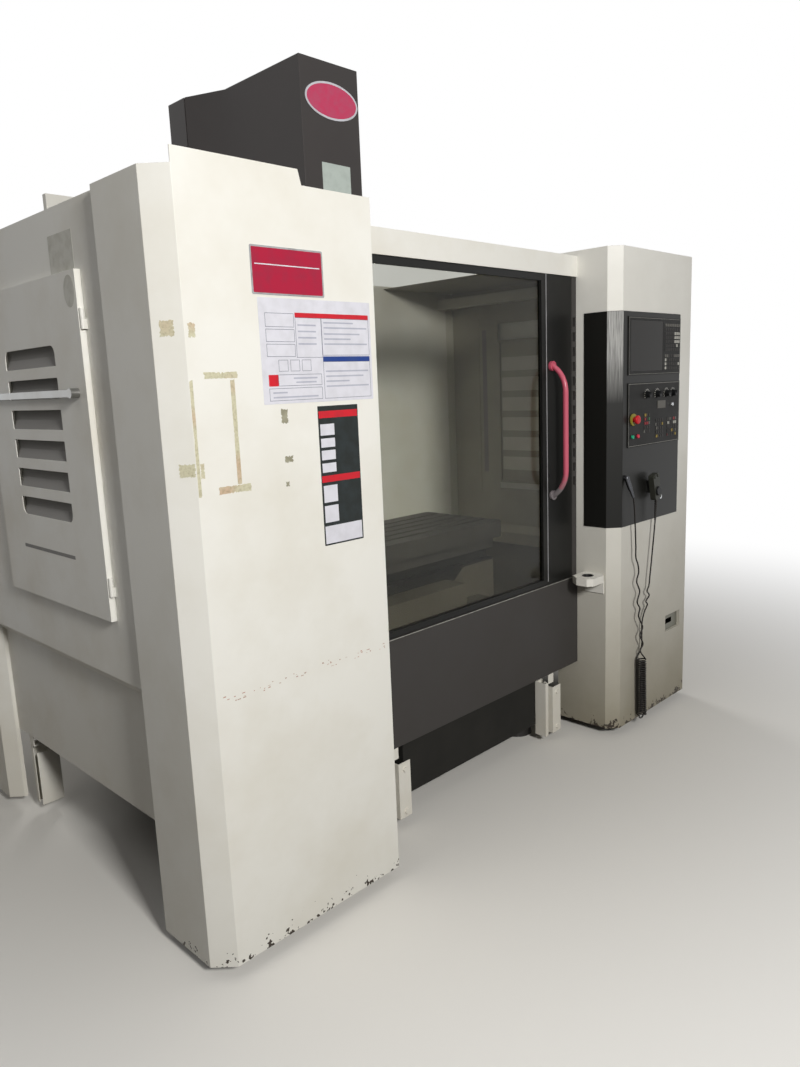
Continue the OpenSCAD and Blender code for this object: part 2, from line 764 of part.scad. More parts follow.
cover_l = table_y - saddle_l / 2 - base_y0 - 55;
cover_rise = 10;
function cover_half(k) = 410 + 6 * k;
function cover_z(k) = deck_z + way_h + 28 + cover_rise * k;

// One plate of the way cover, k counted from the fixed one
module cover_plate(k) {
    y0 = base_y0 + 4 + 4 * k;
    w = cover_half(k);
    z1 = cover_z(k);
    block(-w, w, y0, y0 + cover_l, z1 - 3, z1);
    for (s = [0, 1]) mirror([s, 0, 0]) block(w - 3, w, y0, y0 + cover_l, deck_z + 6, z1 - 3);
    if (k > 0) block(-w + 3, w - 3, y0, y0 + 8, cover_z(k - 1) + slip, z1 - 3);
}

module chip_pan() color("#d9d8d2") {
    for (s = [0, 1]) mirror([s, 0, 0]) {
        along_y(pillar_y + 1, rear_y - 1) polygon([
            [skirt_x + sheet, 720], [-base_w / 2 - 4, deck_z + 2], [-base_w / 2 - 4, deck_z - 40],
            [-base_w / 2, deck_z - 40], [-base_w / 2, deck_z + 6], [skirt_x + sheet, 724]]);
        block(cover_half(0) - 3, cover_half(0), base_y0 + 4, base_y0 + 4 + cover_l, deck_z, deck_z + 6);
    }
    cover_plate(0);
    // Sloped front pan between the apron and the base
    along_x(-base_w / 2, base_w / 2) polygon([
        [header_y + 2 + sheet, 700], [header_y + 2 + sheet, 696], [base_y0 - 4, deck_z - 8],
        [base_y0 - 4, deck_z - 30], [base_y0, deck_z - 30], [base_y0, deck_z - 4]]);
}

module y_cover_lower() color("#c9cbcc") cover_plate(1);
module y_cover_upper() color("#c9cbcc") cover_plate(2);

// Brackets that carry the lower edge of the sheet metal

bracket_h = 266;

// Folded bracket with its front plane on y = 0 and its left wall at x = 0
module skirt_bracket(depth, bolted) {
    cube([3, depth, bracket_h]);
    cube([22, 3, bracket_h]);
    translate([3, depth - 3, 0]) cube([56, 3, bracket_h]);
    translate([59, 0, 0]) cube([3, depth, bracket_h - 34]);
    if (bolted) {
        difference() {
            translate([62, 0, 0]) cube([62, 3, bracket_h - 34]);
            for (z = [26, bracket_h - 64]) translate([93, -1, z]) rotate([-90, 0, 0]) cylinder(r = 6, h = 5);
        }
        for (z = [26, bracket_h - 64])
            translate([93, -7, z]) rotate([-90, 0, 0]) cylinder(r = 11, h = 7, $fn = 6);
    }
    translate([16, -6, bracket_h - 3]) cube([40, 30, 3]);
    translate([16, -6, bracket_h]) cube([40, 3, skirt_z - floor_gap - bracket_h]);
}

module skirt_brackets() color("#e4e3dd") {
    bracket_y = header_y + sheet + 2 + 6;
    for (x = skirt_bracket_x) translate([x, bracket_y, floor_gap]) skirt_bracket(60, true);
    for (s = [0, 1]) mirror([s, 0, 0])
        translate([skirt_x + sheet + 6, rear_y - 78, floor_gap]) rotate([0, 0, -90])
            skirt_bracket(90, false);
}

skirt_bracket_x = [-base_w / 2 - 130.5, base_w / 2 + 18.5];

// Tool seat

module tool_seat() color("#e8e7e1") {
    x1 = opening_r;
    x0 = x1 - seat_l;
    y_mid = front + 105;
    hole_x = x0 + 70;
    z1 = apron_top + 25;
    difference() {
        translate([0, 0, z1 - seat_t]) linear_extrude(seat_t) polygon([
            [x1, y_mid - seat_w / 2 + 26], [x1 - 26, y_mid - seat_w / 2], [x0 + 22, y_mid - seat_w / 2],
            [x0, y_mid - seat_w / 2 + 22], [x0, y_mid + 18], [x0 + 34, y_mid + seat_w / 2],
            [x1, y_mid + seat_w / 2]]);
        rod_z(hole_x, y_mid, z1 - seat_t - 1, z1 + 1, seat_hole_r);
        for (x = [-38, 38], y = [-34, 34]) rod_z(hole_x + x, y_mid + y, z1 - 12, z1 + 1, 4.5);
    }
    // Flange bolted to the pillar
    block(x1 - 5, x1, y_mid - 45, y_mid + 55, z1 - seat_t - 60, z1 - seat_t);
}

// Control housing with its two panels

housing_front = front - housing_proud;
housing_l = opening_r - housing_proud;
housing_r = right - housing_in;
housing_wall = 5;
panel_x0 = housing_r - panel_w - 5;
panel_lap = 8;
panel_out = 4;
panel_in = 16;
display_z = housing_z + 692;
plate_z = housing_z + 364;
screen_x = panel_x0 + 21;
screen_z = display_z + 17;
lock_x = housing_r - 199.5;
lock_z = housing_z + 104;
lock_r = 9;
unit_x = housing_r - 299.5;
unit_z = housing_z + 166;
unit_tilt = -14;
socket_x = opening_r + 69.5;
socket_z = housing_z + 228;
cord_y = front - 33;

// Outline of the housing, moved in by t, with a 45 degree corner of its own
function housing_outline(t) = [
    [housing_l + t, front + housing_wrap - t],
    [housing_l + t, front + right_chamfer + corner_share * (t - housing_proud)],
    [opening_r + right_chamfer + corner_share * (t - housing_proud), housing_front + t],
    [housing_r - t, housing_front + t], [housing_r - t, front + housing_wrap - t]];

// Hole for the body of a panel in the housing's front
module panel_hole(z, h) {
    block(panel_x0 + panel_lap - slip, panel_x0 + panel_w - panel_lap + slip,
        housing_front - 1, housing_front + housing_wall + 1, z + panel_lap - slip, z + h - panel_lap + slip);
}

// Flange and body of a panel
module panel_body(z, h) {
    block(panel_x0, panel_x0 + panel_w, housing_front - panel_out, housing_front, z, z + h);
    block(panel_x0 + panel_lap, panel_x0 + panel_w - panel_lap, housing_front,
        housing_front + panel_in, z + panel_lap, z + h - panel_lap);
}

module control_housing() color("#141516") {
    difference() {
        translate([0, 0, housing_z]) linear_extrude(housing_h) polygon(housing_outline(0));
        translate([0, 0, housing_z + housing_wall])
            linear_extrude(housing_h - 2 * housing_wall) polygon(housing_outline(housing_wall));
        panel_hole(display_z, display_h);
        panel_hole(plate_z, plate_h);
        rod_y(lock_x, lock_z, housing_front - 1, housing_front + housing_wall + 1, lock_r + run);
    }
    // Holder of the hand unit
    block(unit_x - 20, unit_x + 20, housing_front - unit_gap, housing_front, unit_z - 30, unit_z + 30);
}

key = 13;
key_pitch = 19;

// Grid of small keys standing on a panel, counted from its lower left key
module keys(x, z, nx, nz) {
    for (i = [0 : nx - 1], j = [0 : nz - 1])
        block(x + i * key_pitch, x + i * key_pitch + key, housing_front - panel_out - 2,
            housing_front - panel_out, z + j * key_pitch, z + j * key_pitch + key);
}

module display_unit() color("#1b1c1e") difference() {
    union() {
        panel_body(display_z, display_h);
        keys(panel_x0 + 343, display_z + 22, 8, 4);
        keys(panel_x0 + 343, display_z + 108, 8, 7);
    }
    block(screen_x, screen_x + screen_w, housing_front - panel_out - 1, housing_front + 1,
        screen_z, screen_z + screen_h);
}

module display_screen() color([0.1, 0.11, 0.12])
    block(screen_x + slip, screen_x + screen_w - slip, housing_front - 3, housing_front + 1,
        screen_z + slip, screen_z + screen_h - slip);

// Places of the buttons and knobs from the lower left corner of the operator plate
estop_at = [46, 127];
start_at = [39, 48];
stop_at = [89, 48];
knob_at = [[175, 236], [273, 236], [364, 236], [431, 236]];
key_at = [419, 182];
plate_face = housing_front - panel_out;
button_r = 9;
estop_neck_r = 11;
knob_pin_r = 4;
key_pin_r = 7;
bore_d = 13;

// Blind bore in the operator plate
module plate_bore(at, r) {
    rod_y(panel_x0 + at[0], plate_z + at[1], plate_face - 6, plate_face + bore_d, r);
}

module operator_plate() color("#1e1f21") difference() {
    union() {
        panel_body(plate_z, plate_h);
        rod_y(panel_x0 + estop_at[0], plate_z + estop_at[1], plate_face - 4, plate_face, estop_r + 8);
        keys(panel_x0 + 150, plate_z + 60, 3, 5);
        keys(panel_x0 + 262, plate_z + 30, 4, 5);
        keys(panel_x0 + 378, plate_z + 30, 5, 5);
        block(panel_x0 + 276, panel_x0 + 354, plate_face - 2, plate_face,
            plate_z + 168, plate_z + 204);
    }
    plate_bore(estop_at, estop_neck_r + slip);
    plate_bore(start_at, button_r + slip);
    plate_bore(stop_at, button_r + slip);
    for (at = knob_at) plate_bore(at, knob_pin_r + run);
    plate_bore(key_at, key_pin_r + run);
}

module estop_button() color("#c22127") translate([panel_x0 + estop_at[0], plate_face, plate_z + estop_at[1]])
    rotate([90, 0, 0]) rotate_extrude() polygon([
        [0, -bore_d + button_travel + 1], [estop_neck_r, -bore_d + button_travel + 1],
        [estop_neck_r, 14], [estop_r - 1, 16], [estop_r, 19], [estop_r, 26],
        [estop_r - 2, 29], [estop_r - 7, 31], [0, 31]]);

// Flat push button in a bore of the plate
module push_button(at) {
    translate([panel_x0 + at[0], plate_face, plate_z + at[1]]) rotate([90, 0, 0]) rotate_extrude() polygon([
        [0, -bore_d + button_travel + 1], [button_r, -bore_d + button_travel + 1],
        [button_r, 6], [button_r - 1.5, 7.5], [0, 7.5]]);
}

module start_button() color("#1f9a66") push_button(start_at);
module stop_button() color("#c9323f") push_button(stop_at);

// Rotary knob with a raised pointer
module knob(i) {
    translate([panel_x0 + knob_at[i][0], plate_face, plate_z + knob_at[i][1]]) rotate([90, 0, 0]) {
        translate([0, 0, -bore_d + 2]) cylinder(r = knob_pin_r, h = bore_d);
        translate([0, 0, 2]) cylinder(r = knob_r + 3, h = 4);
        translate([0, 0, 6]) cylinder(r1 = knob_r, r2 = knob_r - 2, h = 14);
        translate([-2.5, 0, 20]) cube([5, knob_r - 2, 3]);
    }
}

module spindle_knob() color("#101112") knob(0);
module feed_knob() color("#101112") knob(1);
module rapid_knob() color("#101112") knob(2);
module mode_knob() color("#101112") knob(3);

// Round lock face with a key slot, turning in its bore
module lock(r, pin, depth, out) {
    difference() {
        union() {
            translate([0, 0, -depth]) cylinder(r = pin, h = depth + 1);
            translate([0, 0, slip]) cylinder(r1 = r, r2 = r - 2, h = out);
        }
        translate([-1.5, -r * 0.5, out - 4]) cube([3, r, 5]);
    }
}

module key_switch() color("#b4b6b8") translate([panel_x0 + key_at[0], plate_face, plate_z + key_at[1]])
    rotate([90, 0, 0]) lock(10, key_pin_r, bore_d - 2, 8);

module housing_lock() color("#c7c9cb") translate([lock_x, housing_front, lock_z])
    rotate([90, 0, 0]) lock(13, lock_r, 14, 14);

// Hand unit with its pulse dial

// The hand unit's own frame, middle of its back face, tilted on its holder
module at_unit() {
    translate([unit_x, housing_front - unit_gap, unit_z]) rotate([0, unit_tilt, 0]) children();
}

dial_pin_r = 6;
dial_z = -22;

module hand_unit() color("#1d1f20") at_unit() difference() {
    union() {
        rotate([90, 0, 0]) linear_extrude(unit_t)
            round_rect(-unit_w / 2, unit_w / 2, -unit_h / 2, unit_h / 2, 10);
        for (x = [-13, 13]) translate([x, -unit_t, 52]) rotate([90, 0, 0]) cylinder(r = 7, h = 5);
    }
    translate([0, -unit_t, dial_z]) rotate([-90, 0, 0]) translate([0, 0, -1])
        cylinder(r = dial_pin_r + run, h = 13);
}

module hand_wheel() color("#2b2d2f") at_unit() translate([0, -unit_t, dial_z]) rotate([90, 0, 0]) {
    translate([0, 0, -10]) cylinder(r = dial_pin_r, h = 12);
    translate([0, 0, 1]) cylinder(r1 = dial_r, r2 = dial_r - 2, h = dial_t - 1);
}

// Cord of the hand unit

plug_a = [socket_x, housing_front - 12, socket_z - 3];
plug_b = [socket_x + 19, cord_y - 6, socket_z - 90];

module cord_plug() color("#8f9295") {
    rod_y(socket_x, socket_z, housing_front - 12, housing_front, 13);
    translate([socket_x, housing_front - 12, socket_z]) sphere(r = 12, $fn = 24);
    bar(plug_a, plug_a + 0.55 * (plug_b - plug_a), 12, 11);
    bar(plug_a + 0.55 * (plug_b - plug_a), plug_b, 9, 6);
}

// Points of the cord from the plug down to the coiled stretch
lead_points = [
    [816, -1204, 1168], [826, -1205, 1110], [840, -1202, 1014], [850, -1200, 930], [852, -1200, 878],
    [872, -1200, 842], [880, -1200, 802], [862, -1200, 764], [878, -1200, 732], [892, -1200, 702],
    [870, -1200, 658], [892, -1202, 622], [880, -1202, 588], [905, -1204, 545], [918, -1204, 520],
    [893, -1204, 488], [914, -1204, 455], [926, -1202, 430], [905, -1200, 405], [920, -1198, 372]];

// Points of the cord from the coiled stretch up to the hand unit
tail_points = [
    [934, -1186, 372], [946, -1184, 410], [948, -1184, 470], [946, -1186, 540], [960, -1190, 588],
    [984, -1192, 618], [966, -1194, 640], [996, -1195, 664], [972, -1196, 690], [988, -1197, 715],
    [992, -1198, 748], [1008, -1199, 849], [1024, -1200, 960], [1033, -1200, 1020]];

coil_top = [921, -1196, 374];
coil_low = [932, -1196, 45];

// Point on a smooth curve through four points, t from 0 to 1 between the middle two
function smooth(a, b, c, d, t) =
    0.5 * (2 * b + (c - a) * t + (2 * a - 5 * b + 4 * c - d) * t * t + (3 * b - a - 3 * c + d) * t * t * t);

// The route with n steps between neighbouring points
function route(p, n) = concat(
    [for (i = [0 : len(p) - 2], k = [0 : n - 1])
        smooth(p[max(i - 1, 0)], p[i], p[i + 1], p[min(i + 2, len(p) - 1)], k / n)],
    [p[len(p) - 1]]);

function unit(v) = v / norm(v);
function tangent(p, i) = unit(p[min(i + 1, len(p) - 1)] - p[max(i - 1, 0)]);

// Round tube along a route that never runs along Y
module tube(p, r) {
    sides = 8;
    n = len(p);
    rings = [for (i = [0 : n - 1]) let (t = tangent(p, i), u = unit(cross(t, [0, 1, 0])), v = cross(u, t))
        for (k = [0 : sides - 1]) p[i] + r * (cos(360 * k / sides) * u + sin(360 * k / sides) * v)];
    walls = [for (i = [0 : n - 2], k = [0 : sides - 1])
        [i * sides + k, i * sides + (k + 1) % sides, (i + 1) * sides + (k + 1) % sides, (i + 1) * sides + k]];
    low = [for (k = [0 : sides - 1]) sides - 1 - k];
    high = [for (k = [0 : sides - 1]) (n - 1) * sides + k];
    polyhedron(rings, concat([low, high], walls));
}

module cord_lead() color("#121314") tube(route(lead_points, 2), cord_r);
module cord_coil() color("#121314") bar(coil_top, coil_low, coil_r, coil_r);
module cord_tail() color("#121314") {
    relief = tail_points[len(tail_points) - 1];
    tube(route(tail_points, 2), cord_r);
    bar(relief, [unit_x + 15, housing_front - unit_gap - unit_t / 2, unit_z - unit_h / 2], 6, 9);
}

// Saddle

saddle_y0 = table_y - saddle_l / 2;
saddle_y1 = table_y + saddle_l / 2;
saddle_z = deck_z + way_h + slip;
saddle_top = 860;
x_way_in = 130;
x_way_w = 70;
screw_x_z = saddle_top + 20;
screw_x_r = 16;

module saddle() color("#53575a") difference() {
    union() {
        along_y(saddle_y0, saddle_y1) polygon([
            [-wing_l, saddle_top], [-wing_l, saddle_top - 60], [-400, 690], [-400, saddle_z],
            [400, saddle_z], [400, 690], [wing_l, saddle_top - 60], [wing_l, saddle_top]]);
        for (y = [table_y - x_way_in - x_way_w, table_y + x_way_in])
            block(-wing_l, wing_l, y, y + x_way_w, saddle_top, saddle_top + way_h);
        for (x = [-wing_l, wing_l - bearing_t])
            block(x, x + bearing_t, table_y - 45, table_y + 45, saddle_top, saddle_top + 45);
        for (s = [0, 1]) mirror([s, 0, 0])
            block(way_in + way_w + 2, 380, saddle_y0, saddle_y1, deck_z + 4, saddle_z);
        // Nut housing of the Y screw
        block(-52, 52, table_y - 45, table_y + 45, deck_z - 55, saddle_z);
        // Servo motor of the X axis
        block(wing_l, wing_l + 12, table_y - 55, table_y + 55, saddle_top - 58, saddle_top + 74);
        block(wing_l + 12, wing_l + 170, table_y - 48, table_y + 48, saddle_top - 30, saddle_top + 70);
        // Way cover plates carried in front and behind
        cover_plate(3);
        block(-cover_half(3), cover_half(3), base_y0 + 16 + cover_l - 1, saddle_y0, cover_z(3) - 3, cover_z(3));
        block(-280, 280, saddle_y1, saddle_y1 + 120, 700, 704);
        // Box guard that stands on the front plate
        difference() {
            block(-330, 205, saddle_y0 - 125, saddle_y0, cover_z(3) - 1, 815);
            block(-326, 201, saddle_y0 - 121, saddle_y0 + 1, cover_z(3), 811);
        }
        block(-280, 280, saddle_y1 + 116, saddle_y1 + 120, 670, 700);
    }
    rod_y(0, screw_y_z, table_y - 46, table_y + 46, screw_r + slip);
    rod_x(table_y, screw_x_z, -wing_l - 1, wing_l, screw_x_r - 4 + run);
}

// Table

module table() color("#56595b") difference() {
    x0 = table_x - table_l / 2;
    x1 = table_x + table_l / 2;
    z0 = table_z - slab_h;
    union() {
        block(x0, x1, table_y - table_w / 2, table_y + table_w / 2, z0, table_z);
        for (y = [table_y - x_way_in - x_way_w - 5, table_y + x_way_in - 5])
            block(x0 + 10, x1 - 10, y, y + x_way_w + 10, saddle_top + way_h + slip, z0);
        block(table_x - 60, table_x + 60, table_y - 40, table_y + 40, saddle_top + 3, z0);
    }
    for (i = [0 : t_slot_n - 1]) {
        y = table_y + (i - (t_slot_n - 1) / 2) * t_slot_pitch;
        block(x0 - 1, x1 + 1, y - t_slot_w / 2, y + t_slot_w / 2, table_z - 34, table_z + 1);
        block(x0 - 1, x1 + 1, y - t_slot_w * 0.83, y + t_slot_w * 0.83, table_z - 34, table_z - 20);
    }
    rod_x(table_y, screw_x_z, table_x - 61, table_x + 61, screw_x_r + slip);
}

// Headstock, spindle and the moving covers

head_travel = 520;
head_y0 = spindle_y - head_front;
flare_y = column_way_y - 215;
head_low = head_z - head_travel + 5;
nose_z = head_z - 60;

// Outline of the head in plan, moved out by t at the front and the sides
function head_outline(t, y1) = [
    [-head_w - t, head_y0 - t], [head_w + t, head_y0 - t], [head_w + t, flare_y],
    [column_w + 3 * t, y1], [-column_w - 3 * t, y1], [-head_w - t, flare_y]];

module headstock() color("#4f5356") difference() {
    union() {
        translate([0, 0, head_z]) linear_extrude(head_h) polygon(head_outline(0, column_way_y - slip));
        rod_z(0, spindle_y, nose_z, head_z, nose_r);
        // Gibs between the ways
        for (s = [0, 1]) mirror([s, 0, 0])
            block(recess_w + 15, column_way_x - slip, column_way_y - slip, column_y - 8,
                head_z + 40, head_z + head_h - 40);
        // Nut housing of the Z screw
        block(-46, 46, column_way_y - slip, screw_z_y + 36, head_z + 200, head_z + 300);
        // Sheet over the ways below the head
        block(-column_w, column_w, apron_y0, apron_y0 + 4, head_low, head_z);
    }
    rod_z(0, spindle_y, nose_z - 1, head_z + head_h + 1, spindle_r + run);
    rod_z(0, screw_z_y, head_z + 199, head_z + 301, screw_r + slip);
}

spindle_low = nose_z - 50;

module spindle() color("#c3c6c8") difference() {
    union() {
        rod_z(0, spindle_y, spindle_low, nose_z - 3, 64);
        rod_z(0, spindle_y, nose_z - 3, head_z + head_h - 5, spindle_r);
        // Driving keys
        for (s = [-1, 1]) block(s * 38 - 10, s * 38 + 10, spindle_y - 8, spindle_y + 8,
            spindle_low - 8, spindle_low + 2);
    }
    translate([0, spindle_y, spindle_low - 9])
        cylinder(r1 = taper_r + 1.3, r2 = taper_r - 9.7, h = 76);
}

module spindle_motor() color("#2c2e30") translate([0, spindle_y, head_z + head_h]) {
    translate([-100, -100, 0]) cube([200, 200, 16]);
    translate([-92, -92, 16]) cube([184, 184, 330]);
    translate([0, 0, 346]) cylinder(r = 80, h = 90);
}

module head_cover() color("#202224") {
    z0 = head_z + head_h + slip;
    difference() {
        translate([0, 0, z0]) linear_extrude(cover_top - z0) polygon(head_outline(2.5, seam_y));
        translate([0, 0, z0 - 1]) linear_extrude(cover_top - z0 - sheet + 1)
            polygon(head_outline(2.5 - sheet, seam_y + 1));
        translate([0, 0, z0 - 1]) linear_extrude(cover_top - z0 - sheet + 1)
            polygon([[-column_w, seam_y - 4], [column_w, seam_y - 4], [column_w, seam_y + 9],
                [-column_w, seam_y + 9]]);
    }
}

// Tool magazine, its frame and the change arm

hub_r = 30;
disc_x = mag_plate_x + 4;
disc_t = 50;
pot_ring = 290;
arm_pin_r = 35;
cam_x0 = -arm_x - 90;
cam_x1 = -arm_x + 85;
cam_z = head_z - 60;
bridge_y = rear_y - 80;

module magazine_frame() color("#d6d5cf") difference() {
    union() {
        plate_l = mag_plate_x - mag_plate_t;
        block(plate_l, mag_plate_x, spindle_y - 60, column_y + 100, disc_z - 80, disc_z + 80);
        block(mag_plate_x, -column_w, column_y + 40, column_y + 100, disc_z - 60, disc_z + 40);
        rod_x(spindle_y, disc_z, mag_plate_x, disc_x + disc_t + 4, hub_r);
        rod_x(spindle_y, disc_z, disc_x + disc_t + 4, disc_x + disc_t + 14, hub_r + 14);
        rod_x(spindle_y, disc_z, mag_plate_x, disc_x - slip, hub_r + 14);
        block(mag_plate_x, cam_x1, bridge_y, bridge_y + 60, disc_z - 80, disc_z);
        block(cam_x0, cam_x1, bridge_y, bridge_y + 60, cam_z + 160, disc_z - 80);
        block(cam_x0, cam_x1, spindle_y - 100, bridge_y + 60, cam_z, cam_z + 160);
    }
    rod_z(-arm_x, spindle_y, cam_z - 1, cam_z + 120, arm_pin_r + run);
}

module magazine_disc() color("#6a6e71") difference() {
    union() {
        rod_x(spindle_y, disc_z, disc_x, disc_x + disc_t, disc_r);
        for (i = [0 : pot_n - 1]) {
            a = 360 * i / pot_n;
            rod_x(spindle_y + pot_ring * sin(a), disc_z - pot_ring * cos(a),
                disc_x + disc_t, disc_x + disc_t + 90, pot_r);
        }
    }
    rod_x(spindle_y, disc_z, disc_x - 1, disc_x + disc_t + 1, hub_r + run);
    for (i = [0 : 4]) {
        a = 72 * i;
        rod_x(spindle_y + 150 * sin(a), disc_z + 150 * cos(a), disc_x - 1, disc_x + disc_t + 1, 52);
    }
}

module tool_arm() color("#9b9ea1") translate([-arm_x, spindle_y, arm_z]) difference() {
    union() {
        cylinder(r = 60, h = 50);
        translate([0, 0, 50]) cylinder(r = arm_pin_r, h = cam_z - arm_z + 60);
        translate([-35, -arm_x, 0]) cube([70, 2 * arm_x, 50]);
        for (s = [-1, 1]) translate([0, s * arm_x, 0]) cylinder(r = 46, h = 50);
    }
    for (s = [0, 1]) rotate([0, 0, 180 * s]) {
        translate([0, arm_x, -1]) cylinder(r = 32, h = 52);
        translate([0, arm_x - 22, -1]) cube([60, 44, 52]);
    }
}

// Electrical cabinet at the back

door_hinge_r = 8;
door_hinge_y = cabinet_back + door_hinge_r + 1;
door_hinge_x = -cabinet_w / 2 - door_hinge_r + 2;
door_hinge_z = [cabinet_z + 200, cabinet_z + cabinet_h - 260];
switch_x = cabinet_w / 2 - 120;
switch_z = 1640;
switch_pin_r = 9;

module electrical_cabinet() color("#e4e3dd") {
    difference() {
        block(-cabinet_w / 2, cabinet_w / 2, column_back, cabinet_back, cabinet_z, cabinet_z + cabinet_h);
        block(-cabinet_w / 2 + 3, cabinet_w / 2 - 3, column_back + 3, cabinet_back + 1,
            cabinet_z + 3, cabinet_z + cabinet_h - 3);
        // Filter fan openings in the flanks
        for (s = [0, 1]) mirror([s, 0, 0]) for (z = [0 : 5])
            block(cabinet_w / 2 - 4, cabinet_w / 2 + 1, column_back + 60, column_back + 180,
                cabinet_z + 180 + z * 24, cabinet_z + 192 + z * 24);
    }
    // Mounting plate with its drives
    block(-cabinet_w / 2 + 60, cabinet_w / 2 - 60, column_back + 3, column_back + 12,
        cabinet_z + 60, cabinet_z + cabinet_h - 60);
    for (i = [0 : 3]) block(-340 + i * 150, -340 + i * 150 + 110, column_back + 12, column_back + 140,
        cabinet_z + 1000, cabinet_z + 1380);
    for (z = door_hinge_z) {
        rod_z(door_hinge_x, door_hinge_y, z - 40, z, door_hinge_r);
        rod_z(door_hinge_x, door_hinge_y, z, z + 36, 4);
        block(door_hinge_x, -cabinet_w / 2 + 6, cabinet_back - 12, cabinet_back - 1, z - 40, z);
        block(door_hinge_x - 4, door_hinge_x + 4, cabinet_back - 12, door_hinge_y, z - 40, z);
    }
}

module cabinet_door() color("#e4e3dd") {
    x1 = cabinet_w / 2;
    y0 = cabinet_back + slip;
    y1 = cabinet_back + cabinet_door_t;
    difference() {
        block(-x1 + 12, x1, y0, y1, cabinet_z, cabinet_z + cabinet_h);
        block(-x1 + 15, x1 - 3, y0 - 1, y1 - 3, cabinet_z + 3, cabinet_z + cabinet_h - 3);
        rod_y(switch_x, switch_z, y0 - 1, y1 + 1, switch_pin_r + run);
    }
    for (z = door_hinge_z) difference() {
        union() {
            rod_z(door_hinge_x, door_hinge_y, z + slip, z + 40, door_hinge_r);
            block(door_hinge_x, -x1 + 13, door_hinge_y + 1, door_hinge_y + 6, z + slip, z + 40);
        }
        rod_z(door_hinge_x, door_hinge_y, z - 1, z + 41, 4 + run);
    }
}

module main_switch() color("#c22127") {
    y1 = back - switch_out;
    rod_y(switch_x, switch_z, y1 - 14, y1 + 10, switch_pin_r);
    rod_y(switch_x, switch_z, y1 + slip, y1 + 12, 32);
    block(switch_x - 9, switch_x + 9, y1 + 12, back, switch_z - 30, switch_z + 34);
}

base_casting();
levelling_feet();
column_casting();
column_cover();
left_front_pillar();
right_front_pillar();
header_beam();
front_apron();
left_side_panel();
right_side_panel();
rear_wall();
chip_pan();
skirt_brackets();
tool_seat();
control_housing();
display_unit();
display_screen();
operator_plate();
estop_button();
start_button();
stop_button();
spindle_knob();
feed_knob();
rapid_knob();
mode_knob();
key_switch();
housing_lock();
hand_unit();
hand_wheel();
cord_plug();
cord_lead();
cord_coil();
cord_tail();
door_frame();
door_glass();
door_handle();
door_roller_left();
door_roller_right();
left_hatch();
right_hatch();
left_latch_bar();
right_latch_bar();
saddle();
table();
headstock();
spindle();
spindle_motor();
head_cover();
screw_x();
screw_y();
screw_z();
axis_motors();
y_cover_lower();
y_cover_upper();
magazine_frame();
magazine_disc();
tool_arm();
electrical_cabinet();
cabinet_door();
main_switch();
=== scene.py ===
import math
import bmesh
import bpy
import mathutils
import numpy as np
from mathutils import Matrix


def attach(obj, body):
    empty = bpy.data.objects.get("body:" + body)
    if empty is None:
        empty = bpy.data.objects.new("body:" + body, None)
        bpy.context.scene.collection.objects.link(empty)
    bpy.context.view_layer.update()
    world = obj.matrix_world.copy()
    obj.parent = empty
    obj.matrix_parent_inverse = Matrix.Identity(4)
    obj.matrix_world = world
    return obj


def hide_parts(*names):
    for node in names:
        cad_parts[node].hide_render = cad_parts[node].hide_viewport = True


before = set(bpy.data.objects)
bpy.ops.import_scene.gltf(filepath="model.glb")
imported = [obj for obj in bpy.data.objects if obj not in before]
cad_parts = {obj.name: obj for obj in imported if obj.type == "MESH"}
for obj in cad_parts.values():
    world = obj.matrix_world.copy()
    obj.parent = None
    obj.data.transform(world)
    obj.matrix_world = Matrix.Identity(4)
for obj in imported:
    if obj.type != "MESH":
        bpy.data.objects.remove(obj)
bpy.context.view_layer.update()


# The camera stands where the photographer stood, to the left in front of the machine at eye height.
# Yaw, pitch and roll come from a fit of the machine's straight edges, the lens from its vanishing points.
def in_scene(name, data):
    """A new object in the scene, at the origin, that holds this mesh, curve, lamp or lens."""
    thing = bpy.data.objects.new(name, data)
    bpy.context.scene.collection.objects.link(thing)
    return thing


yaw, pitch, roll = (math.radians(a) for a in (44.997, -10.368, 2.362))
ahead = np.array([math.sin(yaw) * math.cos(pitch), math.cos(yaw) * math.cos(pitch), math.sin(pitch)])
level = np.array([math.cos(yaw), -math.sin(yaw), 0.0])
sunk = np.cross(ahead, level)
stand = np.eye(4)
stand[:3, 0] = math.cos(roll) * level + math.sin(roll) * sunk
stand[:3, 1] = math.sin(roll) * level - math.cos(roll) * sunk
stand[:3, 2] = -ahead
stand[:3, 3] = (-2.5752, -3.065, 1.7244)
lens = bpy.data.cameras.new("photographers_camera")
lens.sensor_width = 36.0
lens.lens = 27.475
lens.clip_end = 200.0
camera = in_scene("photographers_camera", lens)
camera.matrix_world = mathutils.Matrix(stand.tolist())
bpy.context.scene.camera = camera


# The hand unit's cord: a black jacketed spiral cord, 7 mm thick and about 5 m long when pulled straight.
# It leaves the plug on the housing, hangs in lazy waves where the spiral has lost its spring, and bunches
# into a tight double spiral near the floor, from whose top the second strand climbs to the hand unit.
def linear(code):
    """sRGB hex to linear: c/12.92 below 0.04045, otherwise ((c + 0.055) / 1.055) to the power 2.4."""
    c = np.array([int(code[i:i + 2], 16) / 255 for i in (1, 3, 5)])
    c = np.where(c < 0.04045, c / 12.92, ((c + 0.055) / 1.055) ** 2.4)
    return (*c.tolist(), 1.0)


